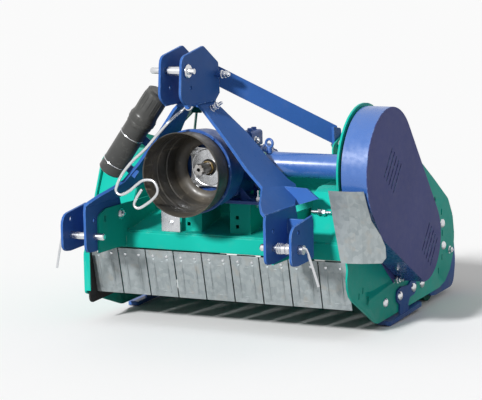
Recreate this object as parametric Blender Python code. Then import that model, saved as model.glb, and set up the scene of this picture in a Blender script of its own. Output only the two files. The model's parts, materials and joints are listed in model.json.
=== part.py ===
# Hammer knife mower for a small tractor: a hood on two side plates, a rotor with swinging
# hammers, a three-point hitch frame, and a gearbox that drives the rotor through V-belts.
# Metres, +Z up, -Y towards the tractor, +X to the belt side. Heights are above the ground.
import math

import bmesh
import bpy
from mathutils import Matrix, Vector
from mathutils.geometry import delaunay_2d_cdt

SEAT = 0.0003            # gap that two touching pieces keep
RUNNING = 0.0006         # radial gap of a pin or a shaft that turns in its hole

# Three-point hitch, category 1
PIN_SPREAD = 0.683       # between the middles of the two lower clevises
CLEVIS_GAP = 0.0736      # clear width inside a lower clevis
CLEVIS_SHEET = 0.008
LOWER_PIN_Y = -0.1835
LOWER_PIN_Z = 0.316
LOWER_PIN_D = 0.022
SPARE_HOLE_RISE = 0.050  # second hole above each lower pin
MAST_GAP = 0.0607        # clear width between the mast plates
MAST_SHEET = 0.008
TOP_PIN_Y = -0.194
TOP_PIN_Z = 0.828
TOP_PIN_D = 0.019
ARM_SHEET = 0.009
ARM_TOP_Z = 0.7235       # upper face of the bent arm strap under the mast plates

# Body of the mower
BODY_LEFT = -0.438       # inner face of the left side plate
BODY_RIGHT = 0.4523      # inner face of the right side plate
PLATE_SHEET = 0.006
HOOD_SHEET = 0.004
BEAM_BOTTOM = 0.2534
BEAM_HEIGHT = 0.0508
BEAM_DEPTH = 0.050
BEAM_WALL = 0.004

# Rotor and its hammers
ROTOR_Y = 0.414
ROTOR_Z = 0.2596
ROTOR_TUBE_R = 0.055
ROTOR_STUB_R = 0.020
PIVOT_R = 0.105          # from the rotor's axis to a hammer's bolt
HAMMER_COUNT = 8
HAMMER_REACH = 0.092     # from the bolt to the hammer's edge
HAMMER_WIDTH = 0.080
HAMMER_EYE_WIDTH = 0.030
HAMMER_EYE_R = 0.015
HAMMER_BOLT_R = 0.008
LUG_SHEET = 0.008

# Drive line
DRIVE_Y = 0.1361
DRIVE_Z = 0.5165
DRIVE_TUBE_R = 0.038
DRIVE_SHAFT_R = 0.016
STUB_D = 0.0349          # splined input stub, 1 3/8 inch
STUB_END_Y = -0.0626
STUB_BACK_Y = 0.070
SPLINES = 6
GEARBOX_FRONT = 0.022
GEARBOX_BACK = 0.205
GEARBOX_HALF_WIDTH = 0.080
GEARBOX_BOTTOM = 0.4135
GEARBOX_TOP = 0.612
GEARBOX_OUTLET = 0.048   # how far the outlet towards the drive tube stands off the housing
FOOT_SHEET = 0.010
SHIELD_R = 0.128
SHIELD_FRONT_Y = -0.181
SHIELD_BACK_Y = 0.006
SHIELD_WALL = 0.003
UPPER_PULLEY_R = 0.140
LOWER_PULLEY_R = 0.093
BELT_COUNT = 2
BELT_PITCH_X = 0.022
BELT_WIDTH = 0.016
BELT_DEPTH = 0.010
BELT_BACK = 0.0025       # back of the banded belts above the pulleys' rims
PULLEY_MID_X = 0.5035
IDLER_R = 0.026
IDLER_PIVOT = (0.310, 0.370)
IDLER_PLACE = 0.190      # along the belts' front run from the upper pulley's axis
IDLER_ARM_X = 0.4683
IDLER_SHEET = 0.006
COVER_INNER_X = 0.4643
COVER_OUTER_X = 0.5464
COVER_SHEET = 0.002
COVER_TOP_R = 0.1874
COVER_LOW_R = 0.1321

# Front flaps
FLAP_COUNT = 9
FLAP_GAP = 0.004         # between two flaps
FLAP_LEFT_CLEAR = 0.0098     # between the left side plate and the first flap
FLAP_RIGHT_CLEAR = 0.0007    # between the last flap and the right side plate
FLAP_SHEET = 0.003
FLAP_LENGTH = 0.155
FLAP_LEAN = math.radians(13)
FLAP_ROD_R = 0.006
FLAP_ROD_Y = 0.0285
FLAP_ROD_Z = 0.238

# Running gear
ROLLER_R = 0.050
ROLLER_Y = 0.720
SKID_WIDTH = 0.056

PALETTE = {
    "green": ((0.0, 0.30, 0.19, 1), 0.38, 0.0),
    "dark_green": ((0.0, 0.13, 0.09, 1), 0.45, 0.0),
    "blue": ((0.03, 0.10, 0.42, 1), 0.35, 0.0),
    "cast_blue": ((0.03, 0.10, 0.40, 1), 0.45, 0.0),
    "zinc": ((0.62, 0.64, 0.66, 1), 0.30, 1.0),
    "galvanised": ((0.36, 0.40, 0.41, 1), 0.50, 0.8),
    "steel": ((0.30, 0.30, 0.31, 1), 0.45, 1.0),
    "black_plastic": ((0.02, 0.02, 0.018, 1), 0.35, 0.0),
    "grey_plastic": ((0.07, 0.075, 0.075, 1), 0.42, 0.0),
    "rubber": ((0.015, 0.015, 0.015, 1), 0.80, 0.0),
    "iron": ((0.09, 0.09, 0.10, 1), 0.60, 0.9),
}

for old in list(bpy.data.objects):
    bpy.data.objects.remove(old, do_unlink=True)

root = bpy.data.objects.new("mower", None)
bpy.context.scene.collection.objects.link(root)
PIVOTS = {}


def pivot(name, place):
    """An empty on a joint's axis, which carries the pieces that turn about it."""
    empty = bpy.data.objects.new(name, None)
    bpy.context.scene.collection.objects.link(empty)
    empty.parent = root
    empty.location = place
    PIVOTS[name] = empty
    return empty


def paint(node, colour):
    base, rough, metal = PALETTE[colour]
    material = bpy.data.materials.new(node + "_finish")
    material.use_nodes = True
    shader = material.node_tree.nodes["Principled BSDF"]
    shader.inputs["Base Color"].default_value = base
    shader.inputs["Roughness"].default_value = rough
    shader.inputs["Metallic"].default_value = metal
    return material


def face_out(bm):
    """Turn every face outwards."""
    bmesh.ops.recalc_face_normals(bm, faces=bm.faces)
    if bm.calc_volume(signed=True) < 0:
        bmesh.ops.reverse_faces(bm, faces=bm.faces)


def make(node, bm, colour, parent=None):
    """Turn a finished bmesh into the node's object, with its origin on its parent."""
    face_out(bm)
    carrier = parent or root
    offset = carrier.location if parent else Vector((0, 0, 0))
    bmesh.ops.translate(bm, verts=bm.verts, vec=-offset)
    mesh = bpy.data.meshes.new(node)
    bm.to_mesh(mesh)
    bm.free()
    mesh.shade_smooth()
    mesh.set_sharp_from_angle(angle=math.radians(42))
    mesh.materials.append(paint(node, colour))
    piece = bpy.data.objects.new(node, mesh)
    bpy.context.scene.collection.objects.link(piece)
    piece.parent = carrier
    return piece


# Outlines in a plane: points (u, v) or (u, v, fillet radius)

def rounded(corners, step=math.radians(22)):
    """A closed outline whose corners with a radius are drawn as arcs."""
    outline = []
    count = len(corners)
    for i, corner in enumerate(corners):
        here = Vector(corner[:2])
        radius = corner[2] if len(corner) > 2 else 0
        if not radius:
            outline.append(here)
            continue
        back = (Vector(corners[i - 1][:2]) - here).normalized()
        ahead = (Vector(corners[(i + 1) % count][:2]) - here).normalized()
        half = back.angle(ahead) / 2
        middle = here + (back + ahead).normalized() * (radius / math.sin(half))
        start = here + back * (radius / math.tan(half)) - middle
        sweep = math.pi - 2 * half
        turn = 1 if back.y * ahead.x - back.x * ahead.y > 0 else -1
        steps = max(1, round(sweep / step))
        for k in range(steps + 1):
            outline.append(middle + Matrix.Rotation(turn * sweep * k / steps, 2) @ start)
    return outline


def circle(middle, radius, sides=12, start=0.0):
    return [Vector((middle[0] + radius * math.cos(start + math.tau * k / sides),
                    middle[1] + radius * math.sin(start + math.tau * k / sides)))
            for k in range(sides)]


def arc(middle, radius, first, last, sides):
    """Points on an arc, with both ends, angles in degrees."""
    return [Vector((middle[0] + radius * math.cos(math.radians(first + (last - first) * k / sides)),
                    middle[1] + radius * math.sin(math.radians(first + (last - first) * k / sides))))
            for k in range(sides + 1)]


PLANES = {
    "x": lambda u, v, w: Vector((w, u, v)),
    "y": lambda u, v, w: Vector((u, w, v)),
    "z": lambda u, v, w: Vector((u, v, w)),
}


def on_material(point, loops):
    """True where the point lies inside an odd number of the loops."""
    crossings = 0
    for loop in loops:
        for k in range(len(loop)):
            a, b = loop[k - 1], loop[k]
            if (a[1] > point.y) != (b[1] > point.y):
                crossings += point.x < a[0] + (b[0] - a[0]) * (point.y - a[1]) / (b[1] - a[1])
    return crossings % 2 == 1


def plate(bm, axis, outline, low, high, holes=()):
    """A flat plate across an axis: its outline and holes run from low to high."""
    place = PLANES[axis]
    points, edges = [], []
    for loop in [outline, *holes]:
        first = len(points)
        points += [Vector(p[:2]) for p in loop]
        edges += [(k, k + 1) for k in range(first, len(points) - 1)] + [(len(points) - 1, first)]
    flat, _, faces, _, _, _ = delaunay_2d_cdt(points, edges, [], 0, 1e-7)
    faces = [f for f in faces if on_material(sum((flat[k] for k in f), Vector((0, 0))) / 3, [outline, *holes])]
    lower = [bm.verts.new(place(p.x, p.y, low)) for p in flat]
    upper = [bm.verts.new(place(p.x, p.y, high)) for p in flat]
    rims = {}
    for face in faces:
        bm.faces.new([lower[k] for k in face])
        bm.faces.new([upper[k] for k in reversed(face)])
        for k in range(len(face)):
            a, b = face[k - 1], face[k]
            if rims.pop((b, a), None) is None:
                rims[(a, b)] = True
    for a, b in rims:
        bm.faces.new((lower[b], lower[a], upper[a], upper[b]))


def box(bm, low, high):
    plate(bm, "z", [(low[0], low[1]), (high[0], low[1]), (high[0], high[1]), (low[0], high[1])],
          low[2], high[2])


def frame_along(direction):
    """Rotation that turns +Z into the direction."""
    return Vector(direction).to_track_quat("Z", "Y").to_matrix().to_4x4()


def lathe(bm, start, direction, profile, sides=16, phase=0.0):
    """Turn a closed profile of (distance along the axis, radius) about the axis."""
    turn = Matrix.Translation(start) @ frame_along(direction)
    rings = []
    for along, radius in profile:
        if radius < 1e-6:
            rings.append([bm.verts.new(turn @ Vector((0, 0, along)))])
        else:
            rings.append([bm.verts.new(turn @ Vector((p.x, p.y, along)))
                          for p in circle((0, 0), radius, sides, phase)])
    for k in range(len(rings)):
        a, b = rings[k - 1], rings[k]
        if len(a) == 1 and len(b) == 1:
            continue
        for s in range(sides):
            n = (s + 1) % sides
            corners = [a[s % len(a)], a[n % len(a)], b[n % len(b)], b[s % len(b)]]
            bm.faces.new(list(dict.fromkeys(corners)))


def rod(bm, start, end, radius, sides=12, phase=0.0):
    run = Vector(end) - Vector(start)
    lathe(bm, start, run, [(0, 0), (0, radius), (run.length, radius), (run.length, 0)], sides, phase)


def ring(bm, start, end, outer, inner, sides=12):
    run = Vector(end) - Vector(start)
    lathe(bm, start, run, [(0, inner), (0, outer), (run.length, outer), (run.length, inner)], sides)


def combine(body, operation, tools):
    """The body after each tool solid is joined to it or cut out of it."""
    helpers = []
    for bm in [body, *tools]:
        face_out(bm)
        mesh = bpy.data.meshes.new("helper")
        bm.to_mesh(mesh)
        bm.free()
        helpers.append(bpy.data.objects.new("helper", mesh))
        bpy.context.scene.collection.objects.link(helpers[-1])
    for tool in helpers[1:]:
        step = helpers[0].modifiers.new("combine", "BOOLEAN")
        step.operation = operation
        step.solver = "EXACT"
        step.object = tool
    graph = bpy.context.evaluated_depsgraph_get()
    mesh = bpy.data.meshes.new_from_object(helpers[0].evaluated_get(graph))
    result = bmesh.new()
    result.from_mesh(mesh)
    bmesh.ops.dissolve_limit(result, angle_limit=1e-4, verts=result.verts, edges=result.edges)
    bmesh.ops.triangulate(result, faces=result.faces, ngon_method="BEAUTY")
    bmesh.ops.dissolve_degenerate(result, dist=6e-5, edges=result.edges)
    bpy.data.meshes.remove(mesh)
    for helper in helpers:
        bpy.data.meshes.remove(helper.data)
    return result


def fused(body, *tools):
    return combine(body, "UNION", tools)


def carved(body, *tools):
    return combine(body, "DIFFERENCE", tools)


def shape(build, *values):
    """A new bmesh that holds what the builder function draws."""
    bm = bmesh.new()
    build(bm, *values)
    return bm


def bent_sheet(bm, line, thickness, x_low, x_high):
    """Sheet metal bent along a line in the YZ plane, as wide as x_low to x_high."""
    points = [Vector(p) for p in line]
    sides = ([], [])
    for k, p in enumerate(points):
        before = (p - points[k - 1]).normalized() if k else None
        after = (points[k + 1] - p).normalized() if k < len(points) - 1 else None
        run = ((before or after) + (after or before)).normalized()
        across = Vector((-run.y, run.x))
        reach = thickness / 2 / max(0.3, run.dot(before or after))
        sides[0].append(p + across * reach)
        sides[1].append(p - across * reach)
    plate(bm, "x", sides[0] + sides[1][::-1], x_low, x_high)


def wire(bm, points, radius, sides=8):
    """A round bar that follows the points."""
    path = [Vector(p) for p in points]
    rings = []
    up = None
    for k, p in enumerate(path):
        run = (path[min(k + 1, len(path) - 1)] - path[max(k - 1, 0)]).normalized()
        up = (up - run * up.dot(run)).normalized() if up else run.orthogonal().normalized()
        side = run.cross(up)
        rings.append([bm.verts.new(p + (up * math.cos(a) + side * math.sin(a)) * radius)
                      for a in (math.tau * s / sides for s in range(sides))])
    for a, b in zip(rings, rings[1:]):
        for s in range(sides):
            bm.faces.new((a[s - 1], a[s], b[s], b[s - 1]))
    bm.faces.new(rings[0])
    bm.faces.new(rings[-1][::-1])


# Side plates: the big profiles that carry everything
BOLT_SHANK_R = 0.006
BOLT_HOLE_R = BOLT_SHANK_R + SEAT
ROTOR_HOLE_R = 0.030
DRIVE_HOLE_R = 0.024
BACK_RIM = 0.0096        # how far the right plate stands proud of the belt cover's top
PLATE_TURN = 205         # where the right plate's round top meets its straight front, in degrees
REAR_EDGE_Y = 0.897
TOP_SLOPE = -0.559
TOP_LINE_Z = 0.401       # height of the rear top edge where y is TOP_LINE_Y
TOP_LINE_Y = 0.724
LOWER_CORNERS = [(REAR_EDGE_Y, 0.302, 0.130), (REAR_EDGE_Y, 0.043, 0.146), (0.60, 0.033),
                 (0.222, 0.020, 0.040), (-0.024, 0.161, 0.078)]
SKID_BOLTS = [(0.4115, 0.0878), (0.510, 0.1001)]
PLATE_SLOTS = [(0.722, 0.335), (0.722, 0.244), (0.700, 0.172), (0.152, 0.108), (0.172, 0.122)]


def top_line(y):
    return TOP_LINE_Z + TOP_SLOPE * (y - TOP_LINE_Y)


def slots():
    return [[(y - 0.004, z - 0.010), (y + 0.004, z - 0.010), (y + 0.004, z + 0.010), (y - 0.004, z + 0.010)]
            for y, z in PLATE_SLOTS]


def bolt_holes(places, radius=BOLT_HOLE_R):
    return [circle(p, radius, 8) for p in places]


def side_plates():
    left = [(0.045, 0.335), (0.125, 0.512, 0.060), (0.225, 0.553, 0.060), (0.445, 0.557, 0.100)]
    bm = bmesh.new()
    plate(bm, "x", rounded(left + LOWER_CORNERS[:-1] + [(-0.006, 0.098, 0.012), (-0.006, 0.222)]),
          BODY_LEFT - PLATE_SHEET, BODY_LEFT,
          bolt_holes(SKID_BOLTS) + slots()
          + [circle((ROTOR_Y, ROTOR_Z), ROTOR_HOLE_R, 14)])
    lip = shape(box, (BODY_LEFT - PLATE_SHEET + 0.001, -0.006, 0.106), (BODY_LEFT + 0.016, -0.002, 0.228))
    make("side_plate_left", fused(bm, lip), "green")

    rim = COVER_TOP_R + BACK_RIM
    tangent = 90 + math.degrees(math.atan(TOP_SLOPE))
    disc = arc((DRIVE_Y, DRIVE_Z), rim, PLATE_TURN, tangent, 16)
    tail = rounded([(DRIVE_Y, DRIVE_Z)] + LOWER_CORNERS)[1:]
    bm = bmesh.new()
    plate(bm, "x", disc + tail, BODY_RIGHT, BODY_RIGHT + PLATE_SHEET,
          bolt_holes(SKID_BOLTS) + bolt_holes(COVER_BOLTS + TAB_BOLTS, COVER_BOLT_R + SEAT) + slots()
          + [circle((ROTOR_Y, ROTOR_Z), ROTOR_HOLE_R, 14), circle((DRIVE_Y, DRIVE_Z), DRIVE_HOLE_R, 12)])
    make("side_plate_right", fused(bm, shape(idler_stud)), "green")


def idler_stud(bm):
    """Shouldered stud, welded in the right plate, that the belt tensioner's arm turns on."""
    start = BODY_RIGHT + PLATE_SHEET / 2
    arm = IDLER_ARM_X - start
    lathe(bm, (start, *IDLER_PIVOT), (1, 0, 0),
          [(0, 0), (0, 0.012), (arm - SEAT, 0.012), (arm - SEAT, 0.008), (arm + IDLER_SHEET + SEAT, 0.008),
           (arm + IDLER_SHEET + SEAT, 0.011), (arm + IDLER_SHEET + 0.006, 0.011), (arm + IDLER_SHEET + 0.006, 0)],
          10)


# Front beam, hood sheet and the corner panels that close it beside the hitch brackets
DECK_END = (0.205, 0.342)
CROWN_Z = 0.508
HOOD_LINE = [(0.0035, BEAM_BOTTOM + BEAM_HEIGHT + SEAT + HOOD_SHEET / 2),
             (0.050, BEAM_BOTTOM + BEAM_HEIGHT + SEAT + HOOD_SHEET / 2 + 0.002), DECK_END,
             (0.250, 0.500), (0.300, CROWN_Z - HOOD_SHEET / 2), (0.440, CROWN_Z), (0.580, 0.470),
             (0.724, 0.389), (0.800, 0.345), (0.842, 0.312)]
WING_LEFT_LINE = [(0.012, 0.3072), (0.062, 0.345), (0.136, 0.495), (0.170, 0.522), (0.252, 0.530),
                  (0.290, CROWN_Z)]
WING_RIGHT_LINE = [(0.012, 0.3072), (0.062, 0.345), (0.112, 0.440), (0.138, 0.450), (0.2372, 0.4555)]
WING_INNER_X = 0.3065


def front_beam():
    bm = bmesh.new()
    outer = rounded([(0, BEAM_BOTTOM, 0.004), (BEAM_DEPTH, BEAM_BOTTOM, 0.004),
                     (BEAM_DEPTH, BEAM_BOTTOM + BEAM_HEIGHT, 0.004), (0, BEAM_BOTTOM + BEAM_HEIGHT, 0.004)], 0.8)
    inner = [(BEAM_WALL, BEAM_BOTTOM + BEAM_WALL), (BEAM_DEPTH - BEAM_WALL, BEAM_BOTTOM + BEAM_WALL),
             (BEAM_DEPTH - BEAM_WALL, BEAM_BOTTOM + BEAM_HEIGHT - BEAM_WALL),
             (BEAM_WALL, BEAM_BOTTOM + BEAM_HEIGHT - BEAM_WALL)]
    plate(bm, "x", outer, BODY_LEFT + SEAT, BODY_RIGHT - SEAT, [inner])
    make("front_beam", fused(bm, shape(deck_brackets)), "green")


def hood():
    bm = bmesh.new()
    bent_sheet(bm, HOOD_LINE, HOOD_SHEET, BODY_LEFT + SEAT, BODY_RIGHT - SEAT)
    walls = bmesh.new()
    panels = bmesh.new()
    for line, side, edge in ((WING_LEFT_LINE, -1, BODY_LEFT + 2 * SEAT), (WING_RIGHT_LINE, 1, BODY_RIGHT - 2 * SEAT)):
        ends = sorted((side * WING_INNER_X, edge))
        bent_sheet(panels, line, HOOD_SHEET, *ends)
        under = [(y, z - HOOD_SHEET * 0.4) for y, z in line]
        back = [(y + HOOD_SHEET * 0.3, z) for y, z in HOOD_LINE[1:5] if z < under[-1][1] - 0.004]
        ends = sorted((side * (WING_INNER_X - HOOD_SHEET / 2), side * (WING_INNER_X + HOOD_SHEET)))
        plate(walls, "x", under + back[::-1], *ends)
    strut_ear(walls)
    make("hood", fused(bm, panels, walls, shape(pedestal_fronts), shape(pedestal_sides)), "green")


# Hitch frame: one strap bent over the mast and down to both lower clevises
ARM_FRONT_Y = -0.108
ARM_STATIONS = [
    # half width, height of the strap's middle, front edge, rear edge
    (0.000, ARM_TOP_Z - ARM_SHEET / 2, -0.120, -0.012),
    (0.034, ARM_TOP_Z - ARM_SHEET / 2, -0.120, -0.012),
    (0.050, 0.7035, -0.118, -0.012),
    (0.116, 0.6180, ARM_FRONT_Y, 0.040),
    (0.180, 0.5350, ARM_FRONT_Y, 0.060),
    (0.233, 0.4790, ARM_FRONT_Y, 0.072),
    (0.2500, 0.4620, -0.150, 0.088),
    (0.2700, 0.4440, -0.200, 0.050),
    (0.2890, 0.4265, -0.2300, 0.000),
    (0.3005, 0.4165, -0.2340, -0.026),
]
CLEVIS_FRONT_Y = -0.2350
INNER_X = PIN_SPREAD / 2 - CLEVIS_GAP / 2 - CLEVIS_SHEET / 2
OUTER_X = PIN_SPREAD / 2 + CLEVIS_GAP / 2 + CLEVIS_SHEET / 2
CLEVIS_BOTTOM = 0.269
GUSSET_Y = 0.012
BRACKET_SHEET = 0.006
BRACKET_BOLT = (-0.030, 0.364)
WEB_Y = -0.084


def strap(bm):
    """The bent strap of both arms, lofted from its stations."""
    rows = [(-x, z, f, r) for x, z, f, r in reversed(ARM_STATIONS[1:])] + ARM_STATIONS
    middles = [Vector((x, z)) for x, z, _, _ in rows]
    rings = []
    for k, (x, z, front, rear) in enumerate(rows):
        run = (middles[min(k + 1, len(rows) - 1)] - middles[max(k - 1, 0)]).normalized()
        up = Vector((-run.y, run.x)) * ARM_SHEET / 2
        rings.append([bm.verts.new((x + up.x, front, z + up.y)), bm.verts.new((x + up.x, rear, z + up.y)),
                      bm.verts.new((x - up.x, rear, z - up.y)), bm.verts.new((x - up.x, front, z - up.y))])
    for a, b in zip(rings, rings[1:]):
        for s in range(4):
            bm.faces.new((a[s - 1], a[s], b[s], b[s - 1]))
    bm.faces.new(rings[0])
    bm.faces.new(rings[-1][::-1])


def hitch_arms():
    bm = bmesh.new()
    pin = (LOWER_PIN_Y, LOWER_PIN_Z)
    spare = (LOWER_PIN_Y, LOWER_PIN_Z + SPARE_HOLE_RISE)
    top_z = ARM_STATIONS[-1][1] + 0.002
    outline = rounded([(CLEVIS_FRONT_Y + 0.004, top_z), (CLEVIS_FRONT_Y, top_z - 0.02, 0.02),
                       (CLEVIS_FRONT_Y, CLEVIS_BOTTOM + 0.004, 0.022), (-0.185, CLEVIS_BOTTOM, 0.02),
                       (-0.0006, CLEVIS_BOTTOM + 0.012), (-0.0006, 0.345, 0.02), (-0.026, top_z)])
    for side in (-1, 1):
        low = side * INNER_X - CLEVIS_SHEET / 2
        plate(bm, "x", outline, low, low + CLEVIS_SHEET,
              [circle(pin, LOWER_PIN_D / 2 + RUNNING, 12), circle(spare, 0.008, 8),
               circle(BRACKET_BOLT, BOLT_HOLE_R, 8)])
    gusset = bmesh.new()
    plate(gusset, "y", [(0.240, 0.469), (0.324, 0.465), (0.362, 0.436), (0.275, 0.408)],
          GUSSET_Y, GUSSET_Y + CLEVIS_SHEET)
    hook_peg(gusset)
    tube_tabs(gusset)
    make("hitch_arms", fused(shape(strap), bm, gusset), "blue")


def clevis_plates():
    pin = (LOWER_PIN_Y, LOWER_PIN_Z)
    spare = (LOWER_PIN_Y, LOWER_PIN_Z + SPARE_HOLE_RISE)
    outline = rounded([(WEB_Y, 0.272), (-0.190, CLEVIS_BOTTOM - 0.001, 0.020),
                       (CLEVIS_FRONT_Y, CLEVIS_BOTTOM + 0.004, 0.025), (CLEVIS_FRONT_Y, 0.384, 0.036),
                       (WEB_Y, 0.402)])
    inside = INNER_X + CLEVIS_SHEET / 2 + SEAT
    for side, name in ((-1, "clevis_left"), (1, "clevis_right")):
        low = side * OUTER_X - CLEVIS_SHEET / 2
        bm = bmesh.new()
        plate(bm, "x", outline, low, low + CLEVIS_SHEET,
              [circle(pin, LOWER_PIN_D / 2 + RUNNING, 12), circle(spare, 0.008, 8)])
        ends = sorted((side * inside, side * (OUTER_X + CLEVIS_SHEET / 2 - 0.001)))
        web = shape(box, (ends[0], WEB_Y - 0.002, 0.276), (ends[1], WEB_Y + CLEVIS_SHEET, 0.388))
        make(name, fused(bm, web), "blue")


def mast_plates():
    foot = ARM_TOP_Z + SEAT
    outline = rounded([(-0.237, 0.752, 0.030), (-0.225, 0.872, 0.028), (-0.085, 0.895, 0.018),
                       (0.010, 0.838, 0.008), (MAST_REAR_Y, foot + 0.020), (-0.012, foot), (-0.120, foot),
                       (-0.205, foot + 0.004, 0.020)])
    for side, name in ((-1, "mast_plate_left"), (1, "mast_plate_right")):
        low = side * (MAST_GAP + MAST_SHEET) / 2 - MAST_SHEET / 2
        bm = bmesh.new()
        plate(bm, "x", outline, low, low + MAST_SHEET,
              [circle((TOP_PIN_Y, TOP_PIN_Z), TOP_PIN_D / 2 + RUNNING, 12),
               circle((-0.170, 0.776), 0.007, 8), circle(MAST_BOLT, BOLT_HOLE_R, 8)])
        make(name, bm, "blue")


MAST_REAR_Y = 0.016
MAST_BOLT = (-0.006, 0.803)


def deck_brackets(bm):
    """Green plates welded to the beam beside the arms, notched over the sloping deck."""
    rise = (DECK_END[1] - HOOD_LINE[1][1]) / (DECK_END[0] - HOOD_LINE[1][0])
    over = HOOD_SHEET / 2 + 0.0012
    sunk = 0.001
    outline = rounded([(-0.168, 0.262), (-0.168, 0.378, 0.022), (-0.120, 0.393, 0.02), (0.175, 0.393, 0.02),
                       (0.195, HOOD_LINE[1][1] + rise * 0.145 + over), (0.050, HOOD_LINE[1][1] + over),
                       (HOOD_LINE[0][0] - SEAT, HOOD_LINE[0][1] + over),
                       (HOOD_LINE[0][0] - SEAT, BEAM_BOTTOM + BEAM_HEIGHT - sunk), (sunk, BEAM_BOTTOM + BEAM_HEIGHT - sunk),
                       (sunk, 0.262)])
    slot = rounded([(-0.134, 0.352, 0.004), (-0.124, 0.352, 0.004), (-0.124, 0.374, 0.004),
                    (-0.134, 0.374, 0.004)], 1.6)
    for side in (-1, 1):
        face = side * (INNER_X - CLEVIS_SHEET / 2 - SEAT)
        ends = sorted((face, face - side * BRACKET_SHEET))
        plate(bm, "x", outline, ends[0], ends[1], [circle(BRACKET_BOLT, BOLT_HOLE_R, 8), slot])


# Struts from the mast back to the body
STRUT_WIDTH = 0.062
STRUT_SHEET = 0.008


def flat_bar(bm, start, end, width, thickness):
    """An upright flat bar between two points, with upright ends."""
    a, b = Vector(start), Vector(end)
    tall = Vector((0, 0, width / 2))
    thin = (b - a).cross(tall).normalized() * thickness / 2
    corners = [tall + thin, tall - thin, -tall - thin, -tall + thin]
    first = [bm.verts.new(a + c) for c in corners]
    last = [bm.verts.new(b + c) for c in corners]
    for k in range(4):
        bm.faces.new((first[k - 1], first[k], last[k], last[k - 1]))
    bm.faces.new(first)
    bm.faces.new(last[::-1])


BRACE_WIDTH = 0.026
BRACE_SHEET = 0.005
BRACE_FOOT_Z = CROWN_Z + HOOD_SHEET / 2 + SEAT + BRACE_WIDTH / 2
EAR_X = WING_INNER_X - HOOD_SHEET / 2 + 0.001
EAR_SHEET = 0.0042
EAR_BOLT = (0.292, 0.563)


def struts():
    """The long flat strut to the hood's ear on the right, and the V-shaped brace on the left."""
    foot_x = EAR_X - SEAT - STRUT_SHEET
    start = (MAST_GAP / 2 + MAST_SHEET / 2, MAST_REAR_Y + SEAT + STRUT_SHEET / 2, 0.793)
    end = (foot_x + STRUT_SHEET / 2, EAR_BOLT[0], EAR_BOLT[1] + 0.028)
    bm = shape(flat_bar, start, end, STRUT_WIDTH, STRUT_SHEET)
    tab = shape(plate, "x", rounded([(EAR_BOLT[0] - 0.026, 0.546, 0.010), (EAR_BOLT[0] - 0.030, 0.622),
                                     (EAR_BOLT[0] + 0.026, 0.612, 0.012), (EAR_BOLT[0] + 0.026, 0.546, 0.012)]),
                foot_x, foot_x + STRUT_SHEET, [circle(EAR_BOLT, BOLT_HOLE_R, 8)])
    make("strut", fused(tab, bm), "blue")
    bars = []
    rear = ARM_STATIONS[0][3] + SEAT
    for foot, head in (((-0.274, 0.430, BRACE_FOOT_Z), (-0.028, rear + 0.004, 0.703)),
                       ((-0.374, 0.365, BRACE_FOOT_Z), (-0.040, rear + 0.004, 0.700))):
        bars.append(shape(flat_bar, head, foot, BRACE_WIDTH, BRACE_SHEET))
    ends = shape(box, (-0.0455, rear, 0.684), (-0.014, rear + 0.008, ARM_TOP_Z - 0.003))
    make("rear_brace", fused(ends, *bars), "dark_green")


def strut_ear(bm):
    """Round-fronted ear that rises from the hood's crown and holds the strut's foot."""
    under = CROWN_Z - 2 * HOOD_SHEET
    outline = rounded([(0.262, 0.498), (0.243, 0.515), (0.243, 0.566, 0.022), (0.345, 0.603, 0.020),
                       (0.352, under), (0.300, under)])
    plate(bm, "x", outline, EAR_X, EAR_X + EAR_SHEET, [circle(EAR_BOLT, BOLT_HOLE_R, 8)])


# Hitch pins
def lower_pin(side):
    inner_tip = INNER_X - CLEVIS_SHEET / 2 - 0.034
    outer_tip = OUTER_X + CLEVIS_SHEET / 2 + 0.016
    name = "lower_pin_right" if side > 0 else "lower_pin_left"
    hub = pivot(name + "_axis", Vector((side * PIN_SPREAD / 2, LOWER_PIN_Y, LOWER_PIN_Z)))
    bm = bmesh.new()
    start = Vector((side * inner_tip, LOWER_PIN_Y, LOWER_PIN_Z))
    length = outer_tip - inner_tip
    pin_r = LOWER_PIN_D / 2
    seat = OUTER_X + CLEVIS_SHEET / 2 + SEAT - inner_tip
    lathe(bm, start, (side, 0, 0),
          [(0, 0), (0, pin_r * 0.7), (0.004, pin_r), (seat, pin_r), (seat, pin_r * 1.3), (length, pin_r * 1.3),
           (length, 0)], 16)
    grip = Vector((side * (outer_tip + 0.0045), LOWER_PIN_Y, LOWER_PIN_Z + 0.004))
    lean = 0.035
    handle = shape(wire, [grip + Vector((-side * 0.006, 0, 0.001)), grip + Vector((side * 0.002, 0, -0.001)),
                          grip + Vector((side * 0.007, 0.001, -0.012)),
                          grip + Vector((side * lean * 0.6, 0.006, -0.060)),
                          grip + Vector((side * lean, 0.012, -0.112))], 0.0042, 6)
    make(name, fused(bm, handle), "zinc", hub)


def pin_bushes():
    """Bushes that ride loose on the top pin and on the right lower pin."""
    bm = bmesh.new()
    mid, half = PIN_SPREAD / 2, 0.026
    ring(bm, (mid - half, LOWER_PIN_Y, LOWER_PIN_Z), (mid + half, LOWER_PIN_Y, LOWER_PIN_Z), 0.0155,
         LOWER_PIN_D / 2 + RUNNING)
    make("lower_pin_bush", bm, "zinc")
    bm = bmesh.new()
    half = MAST_GAP / 2 - SEAT
    ring(bm, (-half + 0.009, TOP_PIN_Y, TOP_PIN_Z), (half, TOP_PIN_Y, TOP_PIN_Z), 0.0145,
         TOP_PIN_D / 2 + RUNNING)
    make("top_pin_bush", bm, "zinc")


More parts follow.
